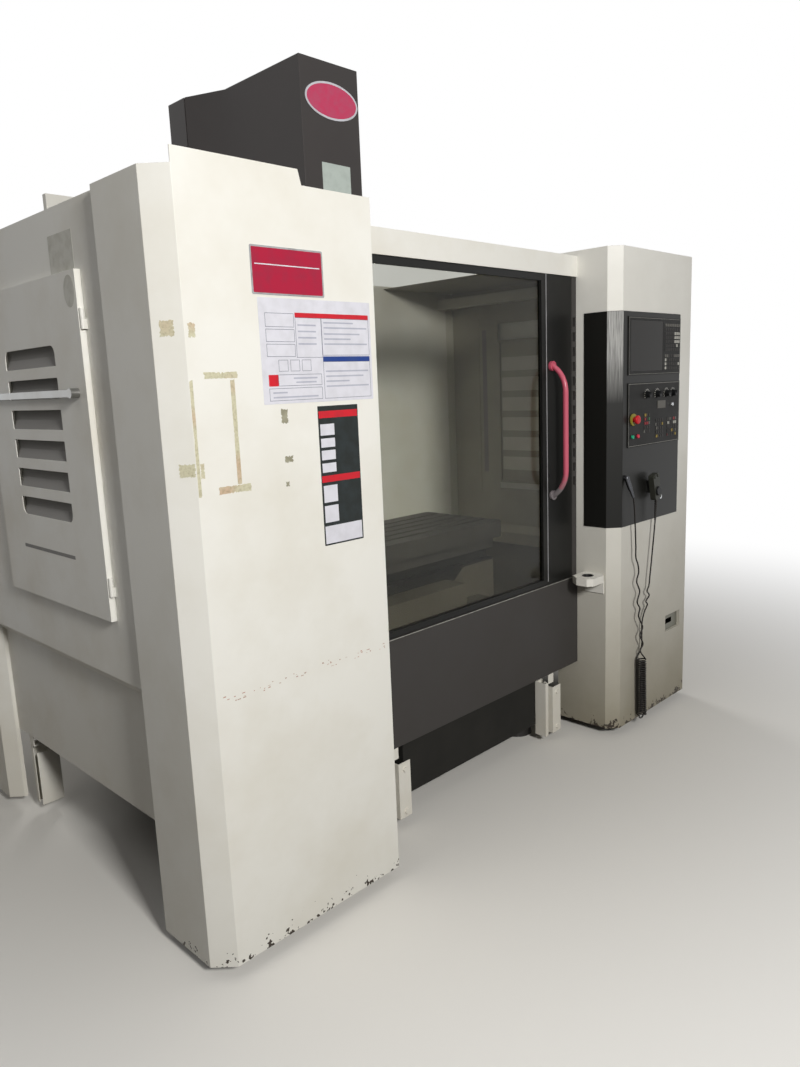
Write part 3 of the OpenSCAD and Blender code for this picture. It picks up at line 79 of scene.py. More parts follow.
def add(tree, kind, inputs=None, **settings):
    """Adds one shader node with its settings. An input is a value, a socket that is linked, or a node whose
    first output in use is linked."""
    node = tree.nodes.new(kind)
    for key, value in settings.items():
        setattr(node, key, value)
    for key, value in (inputs or {}).items():
        if isinstance(value, bpy.types.Node):
            value = next(socket for socket in value.outputs if socket.enabled)
        if isinstance(value, bpy.types.NodeSocket):
            tree.links.new(value, node.inputs[key])
        else:
            node.inputs[key].default_value = value
    return node


def blank(name):
    """A new material, its empty tree and the Object coordinates that its patterns read."""
    material = bpy.data.materials.new(name)
    material.use_nodes = True
    tree = material.node_tree
    tree.nodes.clear()
    return material, tree, add(tree, "ShaderNodeTexCoord").outputs["Object"]


def coat(tree, inputs):
    """Closes a material: its Principled shader, with these inputs, leads to its output."""
    add(tree, "ShaderNodeOutputMaterial", {"Surface": add(tree, "ShaderNodeBsdfPrincipled", inputs)})


def clouded(name, tones, scale, detail, inputs):
    """A material whose colour runs between two tones, mixed by noise of so many clouds to the metre."""
    material, tree, place = blank(name)
    cloud = add(tree, "ShaderNodeTexNoise", {"Vector": place, "Scale": scale, "Detail": detail})
    tint = add(tree, "ShaderNodeMix", {"Factor": cloud, "A": linear(tones[0]), "B": linear(tones[1])},
               data_type="RGBA")
    coat(tree, {"Base Color": tint, **inputs})
    return material


def through(points, steps):
    """Smooth curve through points, Catmull-Rom: on each span the cubic whose end slopes are half the chord
    between the neighbours."""
    p = np.vstack([2 * points[0] - points[1], points, 2 * points[-1] - points[-2]])
    t = (np.arange(steps) / steps)[None, :, None]
    a, b, c, d = (p[i:len(p) - 3 + i][:, None] for i in range(4))
    curve = 0.5 * (2 * b + (c - a) * t + (2 * a - 5 * b + 4 * c - d) * t ** 2
                   + (3 * b - a - 3 * c + d) * t ** 3)
    return np.vstack([curve.reshape(-1, 3), points[-1:]])


# PVC cord jacket, extruded: soft black with a faint brown bloom of coolant and dust on it.
cord_jacket = clouded("pvc_cord_jacket", ("#0f0e0d", "#221d19"), 60.0, 3.0,
                      {"Roughness": 0.42, "Specular IOR Level": 0.25})

# The points that the two hanging strands pass, in millimetres, from the plug down and up to the hand unit.
strand_down = np.array([
    [816, -1204, 1168], [826, -1205, 1110], [840, -1202, 1014], [850, -1200, 930], [852, -1200, 878],
    [872, -1200, 842], [880, -1200, 802], [862, -1200, 764], [878, -1200, 732], [892, -1200, 702],
    [870, -1200, 658], [892, -1202, 622], [880, -1202, 588], [905, -1204, 545], [918, -1204, 520],
    [893, -1204, 488], [914, -1204, 455], [926, -1202, 430], [905, -1200, 405]]) / 1000
strand_up = np.array([
    [946, -1184, 410], [948, -1184, 470], [946, -1186, 540], [960, -1190, 588], [984, -1192, 618],
    [966, -1194, 640], [996, -1195, 664], [972, -1196, 690], [988, -1197, 715], [992, -1198, 748],
    [1008, -1199, 849], [1024, -1200, 960], [1033, -1200, 1020], [1034, -1200.6, 1052]]) / 1000
bunch_top, bunch_low = np.array([0.921, -1.196, 0.366]), np.array([0.932, -1.196, 0.069])
bunch_radius, turns, points_per_turn, loop_sag = 0.0222, 13.0, 16, 0.018
cord_radius, steps_per_span = 0.0035, 8

# Both strands of the bunch wind the same way round one axis, half a turn apart, so they never meet. Each
# gives up its first points to the bend that joins it to its hanging strand.
given_up = 5
t = np.linspace(0, 1, int(turns * points_per_turn) + 1)[:, None]
axis = bunch_top + (bunch_low - bunch_top) * t
turn = 2 * math.pi * turns * t + math.pi
coil = bunch_radius * np.hstack([np.cos(turn), np.sin(turn), 0 * t])
down_coil, up_coil = (axis + coil)[given_up:], (axis - coil)[given_up:][::-1]
half = np.linspace(0, math.pi, 9)[1:-1, None]
across = (down_coil[-1] - up_coil[0]) / 2
loop = (down_coil[-1] + up_coil[0]) / 2 + across * np.cos(half) - np.array([0, 0, loop_sag]) * np.sin(half)
line = np.vstack([through(np.vstack([strand_down, down_coil[:1]]), steps_per_span)[:-1], down_coil, loop,
                  up_coil, through(np.vstack([up_coil[-1:], strand_up]), steps_per_span)[1:]])
curve = bpy.data.curves.new("hand_unit_cord", "CURVE")
curve.dimensions = "3D"
curve.bevel_depth = cord_radius
curve.bevel_resolution = 4
spline = curve.splines.new("POLY")
spline.points.add(len(line) - 1)
spline.points.foreach_set("co", np.hstack([line, np.ones((len(line), 1))]).ravel())
spline.use_smooth = True
curve.materials.append(cord_jacket)
cord = in_scene("hand_unit_cord", curve)
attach(cord, "machine")
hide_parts("cord_lead", "cord_coil", "cord_tail")


# Strain relief: a beaded rubber sleeve, moulded on the cord's end, that widens into the hand unit.
def grid_faces(rows, columns, last_row_meets_first=False):
    """Four-sided faces between the points of a grid, given row after row; each row is a closed ring."""
    i, j = np.meshgrid(np.arange(rows - 1 + last_row_meets_first), np.arange(columns), indexing="ij")
    k, m = (i + 1) % rows, (j + 1) % columns
    return np.stack([i * columns + j, i * columns + m, k * columns + m, k * columns + j], 2).reshape(-1, 4)


def skinned(name, points, faces, finish, smooth=False):
    """A new object whose mesh has these points and faces, and one finish."""
    mesh = bpy.data.meshes.new(name)
    mesh.from_pydata(points.reshape(-1, 3).tolist(), [], faces)
    mesh.polygons.foreach_set("use_smooth", np.full(len(mesh.polygons), smooth))
    mesh.materials.append(finish)
    return in_scene(name, mesh)


foot, head = np.array([1.0334, -1.2004, 1.032]), np.array([1.0369, -1.20195, 1.1325])
rings, spokes, beads = 145, 24, 9
thin_end, widening, groove = 0.0050, 0.0035, 0.13
share = np.linspace(0, 1, rings)[:, None]
along = (head - foot) / np.linalg.norm(head - foot)
aside = np.cross(along, (0.0, 1.0, 0.0)) / np.linalg.norm(np.cross(along, (0.0, 1.0, 0.0)))
over = np.cross(along, aside)
bead = (thin_end + widening * share) * (1 - groove + groove * np.cos(2 * math.pi * beads * share))
a = np.linspace(0, 2 * math.pi, spokes, endpoint=False)[None, :, None]
skin = (foot + (head - foot) * share)[:, None] + bead[:, None] * (np.cos(a) * aside + np.sin(a) * over)
end_caps = [np.arange(spokes)[::-1].tolist(), ((rings - 1) * spokes + np.arange(spokes)).tolist()]
sleeve = skinned("strain_relief", skin, grid_faces(rings, spokes).tolist() + end_caps, cord_jacket, True)
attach(sleeve, "machine")


# The studio: a pale floor that keeps the machine's shadow and fades into white with distance, white all
# round for the camera and for reflections, a soft lamp in front on the left, as the hall's windows stood,
# and weaker ones on its left, behind it and overhead.
def seen_directly(tree):
    """1 for the rays that look at the backdrop: camera, glossy and transmission rays, as long as they
    haven't bounced off a matt surface, or the backdrop would light the machine's inside."""
    path = add(tree, "ShaderNodeLightPath").outputs
    either = add(tree, "ShaderNodeMath", {0: path["Is Camera Ray"], 1: path["Is Glossy Ray"]},
                 operation="MAXIMUM")
    any_of = add(tree, "ShaderNodeMath", {0: either, 1: path["Is Transmission Ray"]}, operation="MAXIMUM")
    unbounced = add(tree, "ShaderNodeMath", {0: path["Diffuse Depth"], 1: 0.5}, operation="LESS_THAN")
    return add(tree, "ShaderNodeMath", {0: any_of, 1: unbounced}, operation="MULTIPLY")


floor_paint, tree, place = blank("pale_floor")
away = add(tree, "ShaderNodeVectorMath", {0: place, 1: (0.0, 0.3, 0.0)}, operation="DISTANCE")
fade = add(tree, "ShaderNodeMapRange", {"Value": away, "From Min": 1.4, "From Max": 5.8},
           interpolation_type="SMOOTHSTEP")
direct = seen_directly(tree)
faded = add(tree, "ShaderNodeMath", {0: fade, 1: direct}, operation="MULTIPLY")
tone = add(tree, "ShaderNodeMix", {"Factor": direct, "A": linear("#77736c"), "B": linear("#e6e4df")},
           data_type="RGBA")
matt = add(tree, "ShaderNodeBsdfDiffuse", {"Color": tone})
glow = add(tree, "ShaderNodeEmission", {"Color": (1, 1, 1, 1), "Strength": 1.0})
both = add(tree, "ShaderNodeMixShader", {0: faded, 1: matt, 2: glow})
add(tree, "ShaderNodeOutputMaterial", {"Surface": both})
floor_corners = 60 * np.array([(-1, -1, 0), (1, -1, 0), (1, 1, 0), (-1, 1, 0)])
floor = skinned("studio_floor", floor_corners, [(0, 1, 2, 3)], floor_paint)
bpy.context.scene.view_settings.view_transform = "Standard"
world = bpy.data.worlds.new("studio")
bpy.context.scene.world = world
world.use_nodes = True
tree = world.node_tree
tree.nodes.clear()
dim = add(tree, "ShaderNodeBackground", {"Color": (1.0, 0.97, 0.93, 1), "Strength": 0.10})
white = add(tree, "ShaderNodeBackground", {"Color": (1, 1, 1, 1), "Strength": 1.0})
both = add(tree, "ShaderNodeMixShader", {0: seen_directly(tree), 1: dim, 2: white})
add(tree, "ShaderNodeOutputWorld", {"Surface": both})
for name, at, aim, size, power, colour in (
        ("window_lamp", (-2.2, -5.4, 3.25), (0.0, -1.0, 1.5), 0.8, 229, (1.0, 0.985, 0.955)),
        ("side_lamp", (-3.4, -1.0, 4.4), (-1.5, 0.0, 1.2), 1.6, 11, (1.0, 0.98, 0.95)),
        ("back_lamp", (3.8, 6.8, 4.6), (0.2, 0.8, 1.4), 2.5, 190, (1.0, 0.985, 0.96)),
        ("roof_lamp", (0.8, -2.0, 6.0), (0.4, -0.6, 1.0), 3.0, 12, (1.0, 0.98, 0.95))):
    lamp = bpy.data.lights.new(name, "AREA")
    lamp.size, lamp.energy, lamp.color = size, power, colour
    lamp_stand = in_scene(name, lamp)
    lamp_stand.location = at
    towards = mathutils.Vector(aim) - mathutils.Vector(at)
    lamp_stand.rotation_euler = towards.to_track_quat("-Z", "Y").to_euler()


# The sheet-metal enclosure: folded 2 mm steel, welded at the corners and spray painted in off-white.
# The enamel has a fine orange peel, has yellowed a little, is dusty near the floor and chipped at the
# lower edges, where grey primer and rust show.
def enamel(name, paint, dust_and_shade_colour, rough, bare="#3a322b", chipped=0.0, peel=0.02, shine=0.5, reach=0.9,
           floor_dirt_and_shade=0.3, smears=0.5):
    """Baked enamel: paint and a darker tone mix by broad 0.4 m clouds, as much as smears says, and by height
    above the floor, from the share given at the floor to none at reach. The darker tone is dust, and on the
    right pillar painted shade as well. The peel is 1.5 mm across. Chips 10 mm across open in patches of 40
    mm, where the product of both noises passes a limit that rises with height."""
    material, tree, place = blank(name)
    height = add(tree, "ShaderNodeSeparateXYZ", {0: place}).outputs["Z"]
    cloud = add(tree, "ShaderNodeTexNoise", {"Vector": place, "Scale": 2.4, "Detail": 5.0, "Roughness": 0.6})
    low = add(tree, "ShaderNodeMapRange", {"Value": height, "From Max": reach, "To Min": floor_dirt_and_shade,
                                           "To Max": 0.0})
    smear = add(tree, "ShaderNodeMapRange", {"Value": cloud, "From Min": 0.42, "From Max": 0.78,
                                             "To Max": smears})
    dirt_and_shade = add(tree, "ShaderNodeMath", {0: low, 1: smear}, operation="ADD", use_clamp=True)
    tint = add(tree, "ShaderNodeMix", {"Factor": dirt_and_shade, "A": linear(paint), "B": linear(dust_and_shade_colour)},
               data_type="RGBA")
    if chipped:
        chips = add(tree, "ShaderNodeTexNoise", {"Vector": place, "Scale": 95.0, "Detail": 2.0})
        patches = add(tree, "ShaderNodeTexNoise", {"Vector": place, "Scale": 24.0, "Detail": 1.0})
        worn = add(tree, "ShaderNodeMath", {0: chips, 1: patches}, operation="MULTIPLY")
        limit = add(tree, "ShaderNodeMapRange", {"Value": height, "From Min": 0.045, "From Max": 0.15,
                                                 "To Min": 0.30 / chipped, "To Max": 0.62})
        open_chip = add(tree, "ShaderNodeMath", {0: worn, 1: limit}, operation="GREATER_THAN")
        tint = add(tree, "ShaderNodeMix", {"Factor": open_chip, "A": tint, "B": linear(bare)},
                   data_type="RGBA")
    gloss = add(tree, "ShaderNodeMapRange", {"Value": cloud, "To Min": rough - 0.07, "To Max": rough + 0.14})
    grain = add(tree, "ShaderNodeTexNoise", {"Vector": place, "Scale": 650.0, "Detail": 1.0})
    bump = add(tree, "ShaderNodeBump", {"Height": grain, "Strength": peel, "Distance": 0.002})
    coat(tree, {"Base Color": tint, "Roughness": gloss, "Normal": bump, "Specular IOR Level": shine})
    return material


white_enamel = enamel("off_white_enamel", "#ecebe5", "#d4cfc0", 0.42, chipped=1.0, shine=0.35, floor_dirt_and_shade=0.12)
plain_enamel = enamel("off_white_enamel_unchipped", "#ecebe5", "#cfc7b4", 0.42, shine=0.35)
# The right pillar darkens towards the floor up to 1.35 m: partly dust, partly painted shade over its lower
# half.
soiled_and_shaded_enamel = enamel("off_white_enamel_soiled_and_shaded", "#ecebe5", "#8a826c", 0.42, chipped=1.25, shine=0.35,
                       reach=1.35, floor_dirt_and_shade=0.85, smears=0.12)
stained_enamel = enamel("coolant_stained_enamel", "#b3ae9f", "#8f8a76", 0.5, shine=0.3)
inner_enamel = enamel("inner_enamel", "#d8d5ca", "#bdb5a2", 0.45)
same_point, same_face, folded_from = 2e-5, math.radians(0.4), math.radians(28)


def dressed(node, body, finish, round_over):
    """The node's own form with its loose triangles merged, its flat faces joined again and its edges
    rounded, so that they catch the light as folded or broken edges do."""
    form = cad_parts[node].data.copy()
    form.name = node + "_form"
    work = bmesh.new()
    work.from_mesh(form)
    bmesh.ops.remove_doubles(work, verts=work.verts, dist=same_point)
    bmesh.ops.dissolve_limit(work, angle_limit=same_face, verts=work.verts, edges=work.edges)
    work.to_mesh(form)
    work.free()
    form.materials.clear()
    form.materials.append(finish)
    form.polygons.foreach_set("use_smooth", np.ones(len(form.polygons), dtype=bool))
    piece = in_scene(node + "_dressed", form)
    edge = piece.modifiers.new("broken_edges", "BEVEL")
    edge.width, edge.segments, edge.limit_method = round_over, 2, "ANGLE"
    edge.angle_limit = folded_from
    light = piece.modifiers.new("flat_faces", "WEIGHTED_NORMAL")
    light.keep_sharp = True
    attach(piece, body)
    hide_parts(node)
    return piece


for node, size, paint in (
        ("left_front_pillar", 0.004, white_enamel), ("right_front_pillar", 0.004, soiled_and_shaded_enamel),
        ("header_beam", 0.0015, plain_enamel), ("left_side_panel", 0.0015, plain_enamel),
        ("right_side_panel", 0.0015, plain_enamel), ("rear_wall", 0.0015, plain_enamel),
        ("skirt_brackets", 0.001, plain_enamel), ("tool_seat", 0.002, plain_enamel),
        ("electrical_cabinet", 0.0015, plain_enamel), ("magazine_frame", 0.002, plain_enamel)):
    dressed(node, "machine", paint, size)
chip_enamel = enamel("chip_stained_enamel", "#5d594f", "#4a463c", 0.6, shine=0.2)
dressed("chip_pan", "machine", chip_enamel, 0.001)

# The magazine's hub is ground a little under its bore, so that the disc turns freely on it.
hub_axis, hub_radius, ground_to = np.array([-0.05, 1.96]), 0.0300, 0.994
form = bpy.data.objects["magazine_frame_dressed"].data
place = np.empty(len(form.vertices) * 3)
form.vertices.foreach_get("co", place)
place = place.reshape(-1, 3)
radius = np.linalg.norm(place[:, 1:] - hub_axis, axis=1)[:, None]
ground = np.where(np.abs(radius - hub_radius) < 0.001, ground_to, 1.0)
place[:, 1:] = hub_axis + (place[:, 1:] - hub_axis) * ground
form.vertices.foreach_set("co", place.ravel())
form.update()
for body, node in (("hatch_left", "left_hatch"), ("hatch_right", "right_hatch"),
                   ("cabinet_leaf", "cabinet_door")):
    dressed(node, body, plain_enamel, 0.0012)

# Black enamelled sheet metal: the housing of the controls, the covers over the head and the column and
# the door's frame. The same spray paint as the white, glossier, with dust lying in its orange peel.
black_enamel = enamel("black_enamel", "#161615", "#21211f", 0.34, peel=0.05, shine=0.2)
cover_enamel = enamel("black_cover_enamel", "#3a3635", "#474342", 0.4, peel=0.05, shine=0.3)

# Pale upright streaks are painted on the housing's corner face above mid height: partly grinding dust, partly
# painted reflection of glare.
glare_streaked_enamel, tree, place = blank("black_enamel_painted_glare_streaks")
normal = add(tree, "ShaderNodeNewGeometry").outputs["Normal"]
facing = add(tree, "ShaderNodeVectorMath", {0: normal, 1: (-0.7071, -0.7071, 0.0)}, operation="DOT_PRODUCT")
corner = add(tree, "ShaderNodeMapRange", {"Value": facing, "From Min": 0.86, "From Max": 0.97})
height = add(tree, "ShaderNodeSeparateXYZ", {0: place}).outputs["Z"]
upper = add(tree, "ShaderNodeMapRange", {"Value": height, "From Min": 1.60, "From Max": 1.86})
stretch = add(tree, "ShaderNodeMapping", {"Vector": place, "Scale": (260.0, 260.0, 9.0)})
streak = add(tree, "ShaderNodeTexNoise", {"Vector": stretch, "Scale": 1.0, "Detail": 5.0})
hanging = add(tree, "ShaderNodeMapRange", {"Value": streak, "From Min": 0.3, "From Max": 0.68,
                                           "To Min": 0.25})
share = add(tree, "ShaderNodeMath", {0: corner, 1: upper}, operation="MULTIPLY")
share = add(tree, "ShaderNodeMath", {0: share, 1: hanging}, operation="MULTIPLY")
tint = add(tree, "ShaderNodeMix", {"Factor": share, "A": linear("#191917"), "B": linear("#c2c2c0")},
           data_type="RGBA")
gloss = add(tree, "ShaderNodeMapRange", {"Value": share, "To Min": 0.36, "To Max": 0.7})
coat(tree, {"Base Color": tint, "Roughness": gloss, "Specular IOR Level": 0.2})
for node, body, size, paint in (
        ("control_housing", "machine", 0.004, glare_streaked_enamel),
        ("column_cover", "machine", 0.003, cover_enamel),
        ("head_cover", "head", 0.003, cover_enamel), ("door_frame", "door", 0.0015, black_enamel)):
    dressed(node, body, paint, size)
apron_enamel = enamel("grey_apron_enamel", "#403e3d", "#3c3936", 0.5, bare="#2a2522", chipped=0.6, shine=0.2)
dressed("front_apron", "machine", apron_enamel, 0.0015)

# Door glass: a 6 mm laminated pane held in the door's frame, clear with a smoky film of dried coolant
# mist on its inner face. Its index is under glass's 1.5, so that the studio's white reflects in it as
# faintly as the hall does.
glass = clouded("smoky_laminated_glass", ("#c3c4bd", "#adada5"), 3.0, 5.0,
                {"Roughness": 0.01, "IOR": 1.22, "Transmission Weight": 1.0})
pane = dressed("door_glass", "door", glass, 0.0005)
pane.visible_shadow = False

# Castings: base, column, saddle and headstock of grey iron, filled and painted a dark grey, darkened to near
# black as painted shade for the shadow that the base stands in under the apron. The texture of the moulding
# sand shows through the paint.
shade_darkened_casting, tree, place = blank("grey_iron_darkened_as_shade")
sand = add(tree, "ShaderNodeTexNoise", {"Vector": place, "Scale": 420.0, "Detail": 2.0})
stain = add(tree, "ShaderNodeTexNoise", {"Vector": place, "Scale": 5.0, "Detail": 4.0})
tint = add(tree, "ShaderNodeMix", {"Factor": stain, "A": linear("#1c1c1b"), "B": linear("#302f2c")},
           data_type="RGBA")
bump = add(tree, "ShaderNodeBump", {"Height": sand, "Strength": 0.04, "Distance": 0.001})
coat(tree, {"Base Color": tint, "Roughness": 0.68, "Normal": bump, "Specular IOR Level": 0.12})
for node, body, size in (("base_casting", "machine", 0.006), ("column_casting", "machine", 0.006),
                         ("saddle", "saddle_body", 0.004), ("headstock", "head", 0.005)):
    dressed(node, body, shade_darkened_casting, size)


# Machined steel and iron: ball screws, spindle, rollers, latch bars, the plates of the way covers and
# the table's planed top with its slots, wiped with oil, so that brown film lies between the bright lands.
def machined(name, bright, film, rough, metal):
    """Cut metal: fine tool marks 2 mm apart carried by noise stretched along X, with oil film in clouds."""
    material, tree, place = blank(name)
    stretch = add(tree, "ShaderNodeMapping", {"Vector": place, "Scale": (6.0, 480.0, 480.0)})
    marks = add(tree, "ShaderNodeTexNoise", {"Vector": stretch, "Scale": 1.0, "Detail": 2.0})
    cloud = add(tree, "ShaderNodeTexNoise", {"Vector": place, "Scale": 7.0, "Detail": 4.0})
    tint = add(tree, "ShaderNodeMix", {"Factor": cloud, "A": linear(bright), "B": linear(film)},
               data_type="RGBA")
    gloss = add(tree, "ShaderNodeMapRange", {"Value": marks, "To Min": rough - 0.08, "To Max": rough + 0.12})
    bump = add(tree, "ShaderNodeBump", {"Height": marks, "Strength": 0.1, "Distance": 0.001})
    coat(tree, {"Base Color": tint, "Metallic": metal, "Roughness": gloss, "Normal": bump})
    return material


ground_steel = machined("ground_steel", "#b9bcbe", "#8d8a83", 0.3, 1.0)
table_iron = machined("planed_table_iron", "#66645f", "#4b4944", 0.5, 0.5)
blackened_steel = machined("blackened_steel", "#2c2d2f", "#3a3733", 0.45, 0.7)
cover_steel = machined("way_cover_steel", "#a8aaa9", "#85837d", 0.45, 0.4)
for node, body, size, metal in (
        ("levelling_feet", "machine", 0.0015, blackened_steel), ("table", "table_body", 0.002, table_iron),
        ("screw_x", "screw_x_body", 0.0008, ground_steel), ("screw_y", "screw_y_body", 0.0008, ground_steel),
        ("screw_z", "screw_z_body", 0.0008, ground_steel), ("spindle", "spindle_body", 0.0012, ground_steel),
        ("y_cover_lower", "cover_lower", 0.0008, cover_steel),
        ("y_cover_upper", "cover_upper", 0.0008, cover_steel),
        ("magazine_disc", "disc", 0.0015, table_iron), ("tool_arm", "arm", 0.003, ground_steel),
        ("door_roller_left", "roller_left", 0.0006, ground_steel),
        ("door_roller_right", "roller_right", 0.0006, ground_steel),
        ("left_latch_bar", "latch_left", 0.001, ground_steel),
        ("right_latch_bar", "latch_right", 0.001, ground_steel)):
    dressed(node, body, metal, size)

# Motors: finned aluminium housings with a cast connector block, sprayed matt black and bolted to the
# ends of the ways and on top of the head.
motor_black = enamel("matt_motor_black", "#141516", "#232322", 0.55, peel=0.08)
dressed("axis_motors", "machine", motor_black, 0.003)
dressed("spindle_motor", "head", motor_black, 0.003)

# Door handle: a bent 25 mm tube, fixed to the door's frame at both ends. It is painted in a red that the
# sun has faded to pink and hands have rubbed grey at the lower end.
handle_paint, tree, place = blank("faded_red_handle_paint")
height = add(tree, "ShaderNodeSeparateXYZ", {0: place}).outputs["Z"]
rub = add(tree, "ShaderNodeTexNoise", {"Vector": place, "Scale": 30.0, "Detail": 3.0})
edge = add(tree, "ShaderNodeMath", {0: rub, 1: 0.12}, operation="MULTIPLY")
lower = add(tree, "ShaderNodeMath", {0: height, 1: edge}, operation="SUBTRACT")
worn = add(tree, "ShaderNodeMapRange", {"Value": lower, "From Min": 1.17, "From Max": 1.235, "To Min": 1.0,
                                        "To Max": 0.0})
tint = add(tree, "ShaderNodeMix", {"Factor": worn, "A": linear("#c8586e"), "B": linear("#7d7679")},
           data_type="RGBA")
coat(tree, {"Base Color": tint, "Roughness": 0.24})
dressed("door_handle", "door", handle_paint, 0.0015)


# Plated brass: the housing's lock and the key switch in chrome, and the shell of the hand unit's plug in
# dulled black nickel. Fingers have smeared all three.
def plated(name, colour, scale, bright, dull):
    """Plated metal: one colour, and a roughness from bright to dull by noise of so many smears a metre."""
    material, tree, place = blank(name)
    smear = add(tree, "ShaderNodeTexNoise", {"Vector": place, "Scale": scale, "Detail": 2.0})
    gloss = add(tree, "ShaderNodeMapRange", {"Value": smear, "To Min": bright, "To Max": dull})
    coat(tree, {"Base Color": linear(colour), "Metallic": 1.0, "Roughness": gloss})
    return material


chrome = plated("chrome_plate", "#c9cbcd", 120.0, 0.1, 0.28)
plug_shell = plated("dulled_black_nickel", "#4f5053", 160.0, 0.2, 0.42)
for node, body, plate in (("housing_lock", "lock", chrome), ("key_switch", "key", chrome),
                          ("cord_plug", "machine", plug_shell)):
    dressed(node, body, plate, 0.0006)


# Moulded plastics of the controls: ABS panels and knobs with a spark-eroded grain, which fingers have
# polished in places, and the buttons' glossy caps.
def plastic(name, colour, rough, grain):
    """Moulded plastic: one colour, with a grain 0.6 mm across in its bump and wear 70 mm across in its
    gloss."""
    material, tree, place = blank(name)
    pits = add(tree, "ShaderNodeTexNoise", {"Vector": place, "Scale": 1600.0, "Detail": 1.0})
    wear = add(tree, "ShaderNodeTexNoise", {"Vector": place, "Scale": 14.0, "Detail": 3.0})
    gloss = add(tree, "ShaderNodeMapRange", {"Value": wear, "To Min": rough - 0.08, "To Max": rough + 0.1})
    bump = add(tree, "ShaderNodeBump", {"Height": pits, "Strength": grain, "Distance": 0.0008})
    coat(tree, {"Base Color": linear(colour), "Roughness": gloss, "Normal": bump, "Specular IOR Level": 0.16})
    return material


panel_abs = plastic("grained_black_abs", "#100f0d", 0.48, 0.1)
knob_abs = plastic("knob_black_abs", "#121314", 0.35, 0.05)
unit_abs = plastic("hand_unit_abs", "#34352f", 0.4, 0.1)
signal_red = plastic("signal_red_cap", "#c8252f", 0.3, 0.02)
soft_red = plastic("red_button_cap", "#d63d50", 0.3, 0.02)
signal_green = plastic("green_button_cap", "#2aa57c", 0.3, 0.02)
screen_glass = plastic("display_front_glass", "#1d1b18", 0.2, 0.0)
for node, body, stuff, size in (
        ("display_unit", "machine", panel_abs, 0.0012), ("operator_plate", "machine", panel_abs, 0.0008),
        ("estop_button", "emergency_stop", signal_red, 0.0015),
        ("start_button", "cycle_start", signal_green, 0.0008),
        ("stop_button", "cycle_stop", soft_red, 0.0008), ("spindle_knob", "knob_1", knob_abs, 0.001),
        ("feed_knob", "knob_2", knob_abs, 0.001), ("rapid_knob", "knob_3", knob_abs, 0.001),
        ("mode_knob", "knob_4", knob_abs, 0.001), ("hand_unit", "machine", unit_abs, 0.003),
        ("hand_wheel", "dial", knob_abs, 0.0015), ("main_switch", "switch", signal_red, 0.002),
        ("display_screen", "machine", screen_glass, 0.0005)):
    dressed(node, body, stuff, size)


# Things stuck on the left pillar: a screen-printed aluminium name plate, a laminated notice and a dark
# safety strip, all three left without words, so that only their plain fields show.
def stuck_on(name, outlines, plane, thick, finish, body):
    """Flat plates in one mesh: each outline's (u, v), anticlockwise in metres, gives the points
    at + u across + v up of its plane, and a second ring of them is raised by thick along across x up."""
    at, across, up = (np.array(part, float) for part in plane)
    lift, points, faces, start = np.cross(across, up) * thick, [], [], 0
    for outline in outlines:
        ring = at + outline[:, :1] * across + outline[:, 1:] * up
        i = np.arange(len(ring)) + start
        after = np.roll(i, -1)
        points += [ring, ring + lift]
        faces += np.stack([i, after, after + len(ring), i + len(ring)], 1).tolist()
        faces += [(i + len(ring)).tolist(), i[::-1].tolist()]
        start += 2 * len(ring)
    piece = skinned(name, np.vstack(points), faces, finish)
    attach(piece, body)


def facing_front(y):
    """The plane at depth y that looks to the front: u runs along X, v upwards."""
    return (0, y, 0), (1, 0, 0), (0, 0, 1)


def facing_left(x):
    """The plane at x that looks to the left: u runs along -Y, v upwards."""
    return (x, 0, 0), (0, -1, 0), (0, 0, 1)


def field(u0, u1, v0, v1, r=0.0008, steps=3):
    """Rounded rectangle, anticlockwise: four quarter circles of radius r, each round its own corner."""
    quarter = np.arange(4)[:, None] * math.pi / 2
    a = quarter + np.linspace(0, math.pi / 2, steps)[None]
    u = (u0 + u1) / 2 + ((u1 - u0) / 2 - r) * np.sign(np.cos(quarter + math.pi / 4)) + r * np.cos(a)
    v = (v0 + v1) / 2 + ((v1 - v0) / 2 - r) * np.sign(np.sin(quarter + math.pi / 4)) + r * np.sin(a)
    return np.stack([u.ravel(), v.ravel()], 1)


def framed(u0, u1, v0, v1, w=0.0012):
    """Four strips of width w along the sides of a rectangle, the upright ones between the level ones."""
    return [field(u0, u1, v0, v0 + w, w / 3), field(u0, u1, v1 - w, v1, w / 3),
            field(u0, u0 + w, v0 + w, v1 - w, w / 3), field(u1 - w, u1, v0 + w, v1 - w, w / 3)]


def printed(name, ink, handled, rough=0.35):
    """Printed film: the ink with a handled, greyer tone in clouds 30 mm across, and gloss that follows."""
    material, tree, place = blank(name)
    touch = add(tree, "ShaderNodeTexNoise", {"Vector": place, "Scale": 32.0, "Detail": 4.0})
    share = add(tree, "ShaderNodeMapRange", {"Value": touch, "From Min": 0.4, "From Max": 0.75})
    tint = add(tree, "ShaderNodeMix", {"Factor": share, "A": linear(ink), "B": linear(handled)},
               data_type="RGBA")
    gloss = add(tree, "ShaderNodeMapRange", {"Value": touch, "To Min": rough - 0.1, "To Max": rough + 0.15})
    coat(tree, {"Base Color": tint, "Roughness": gloss, "Specular IOR Level": 0.3})
    return material


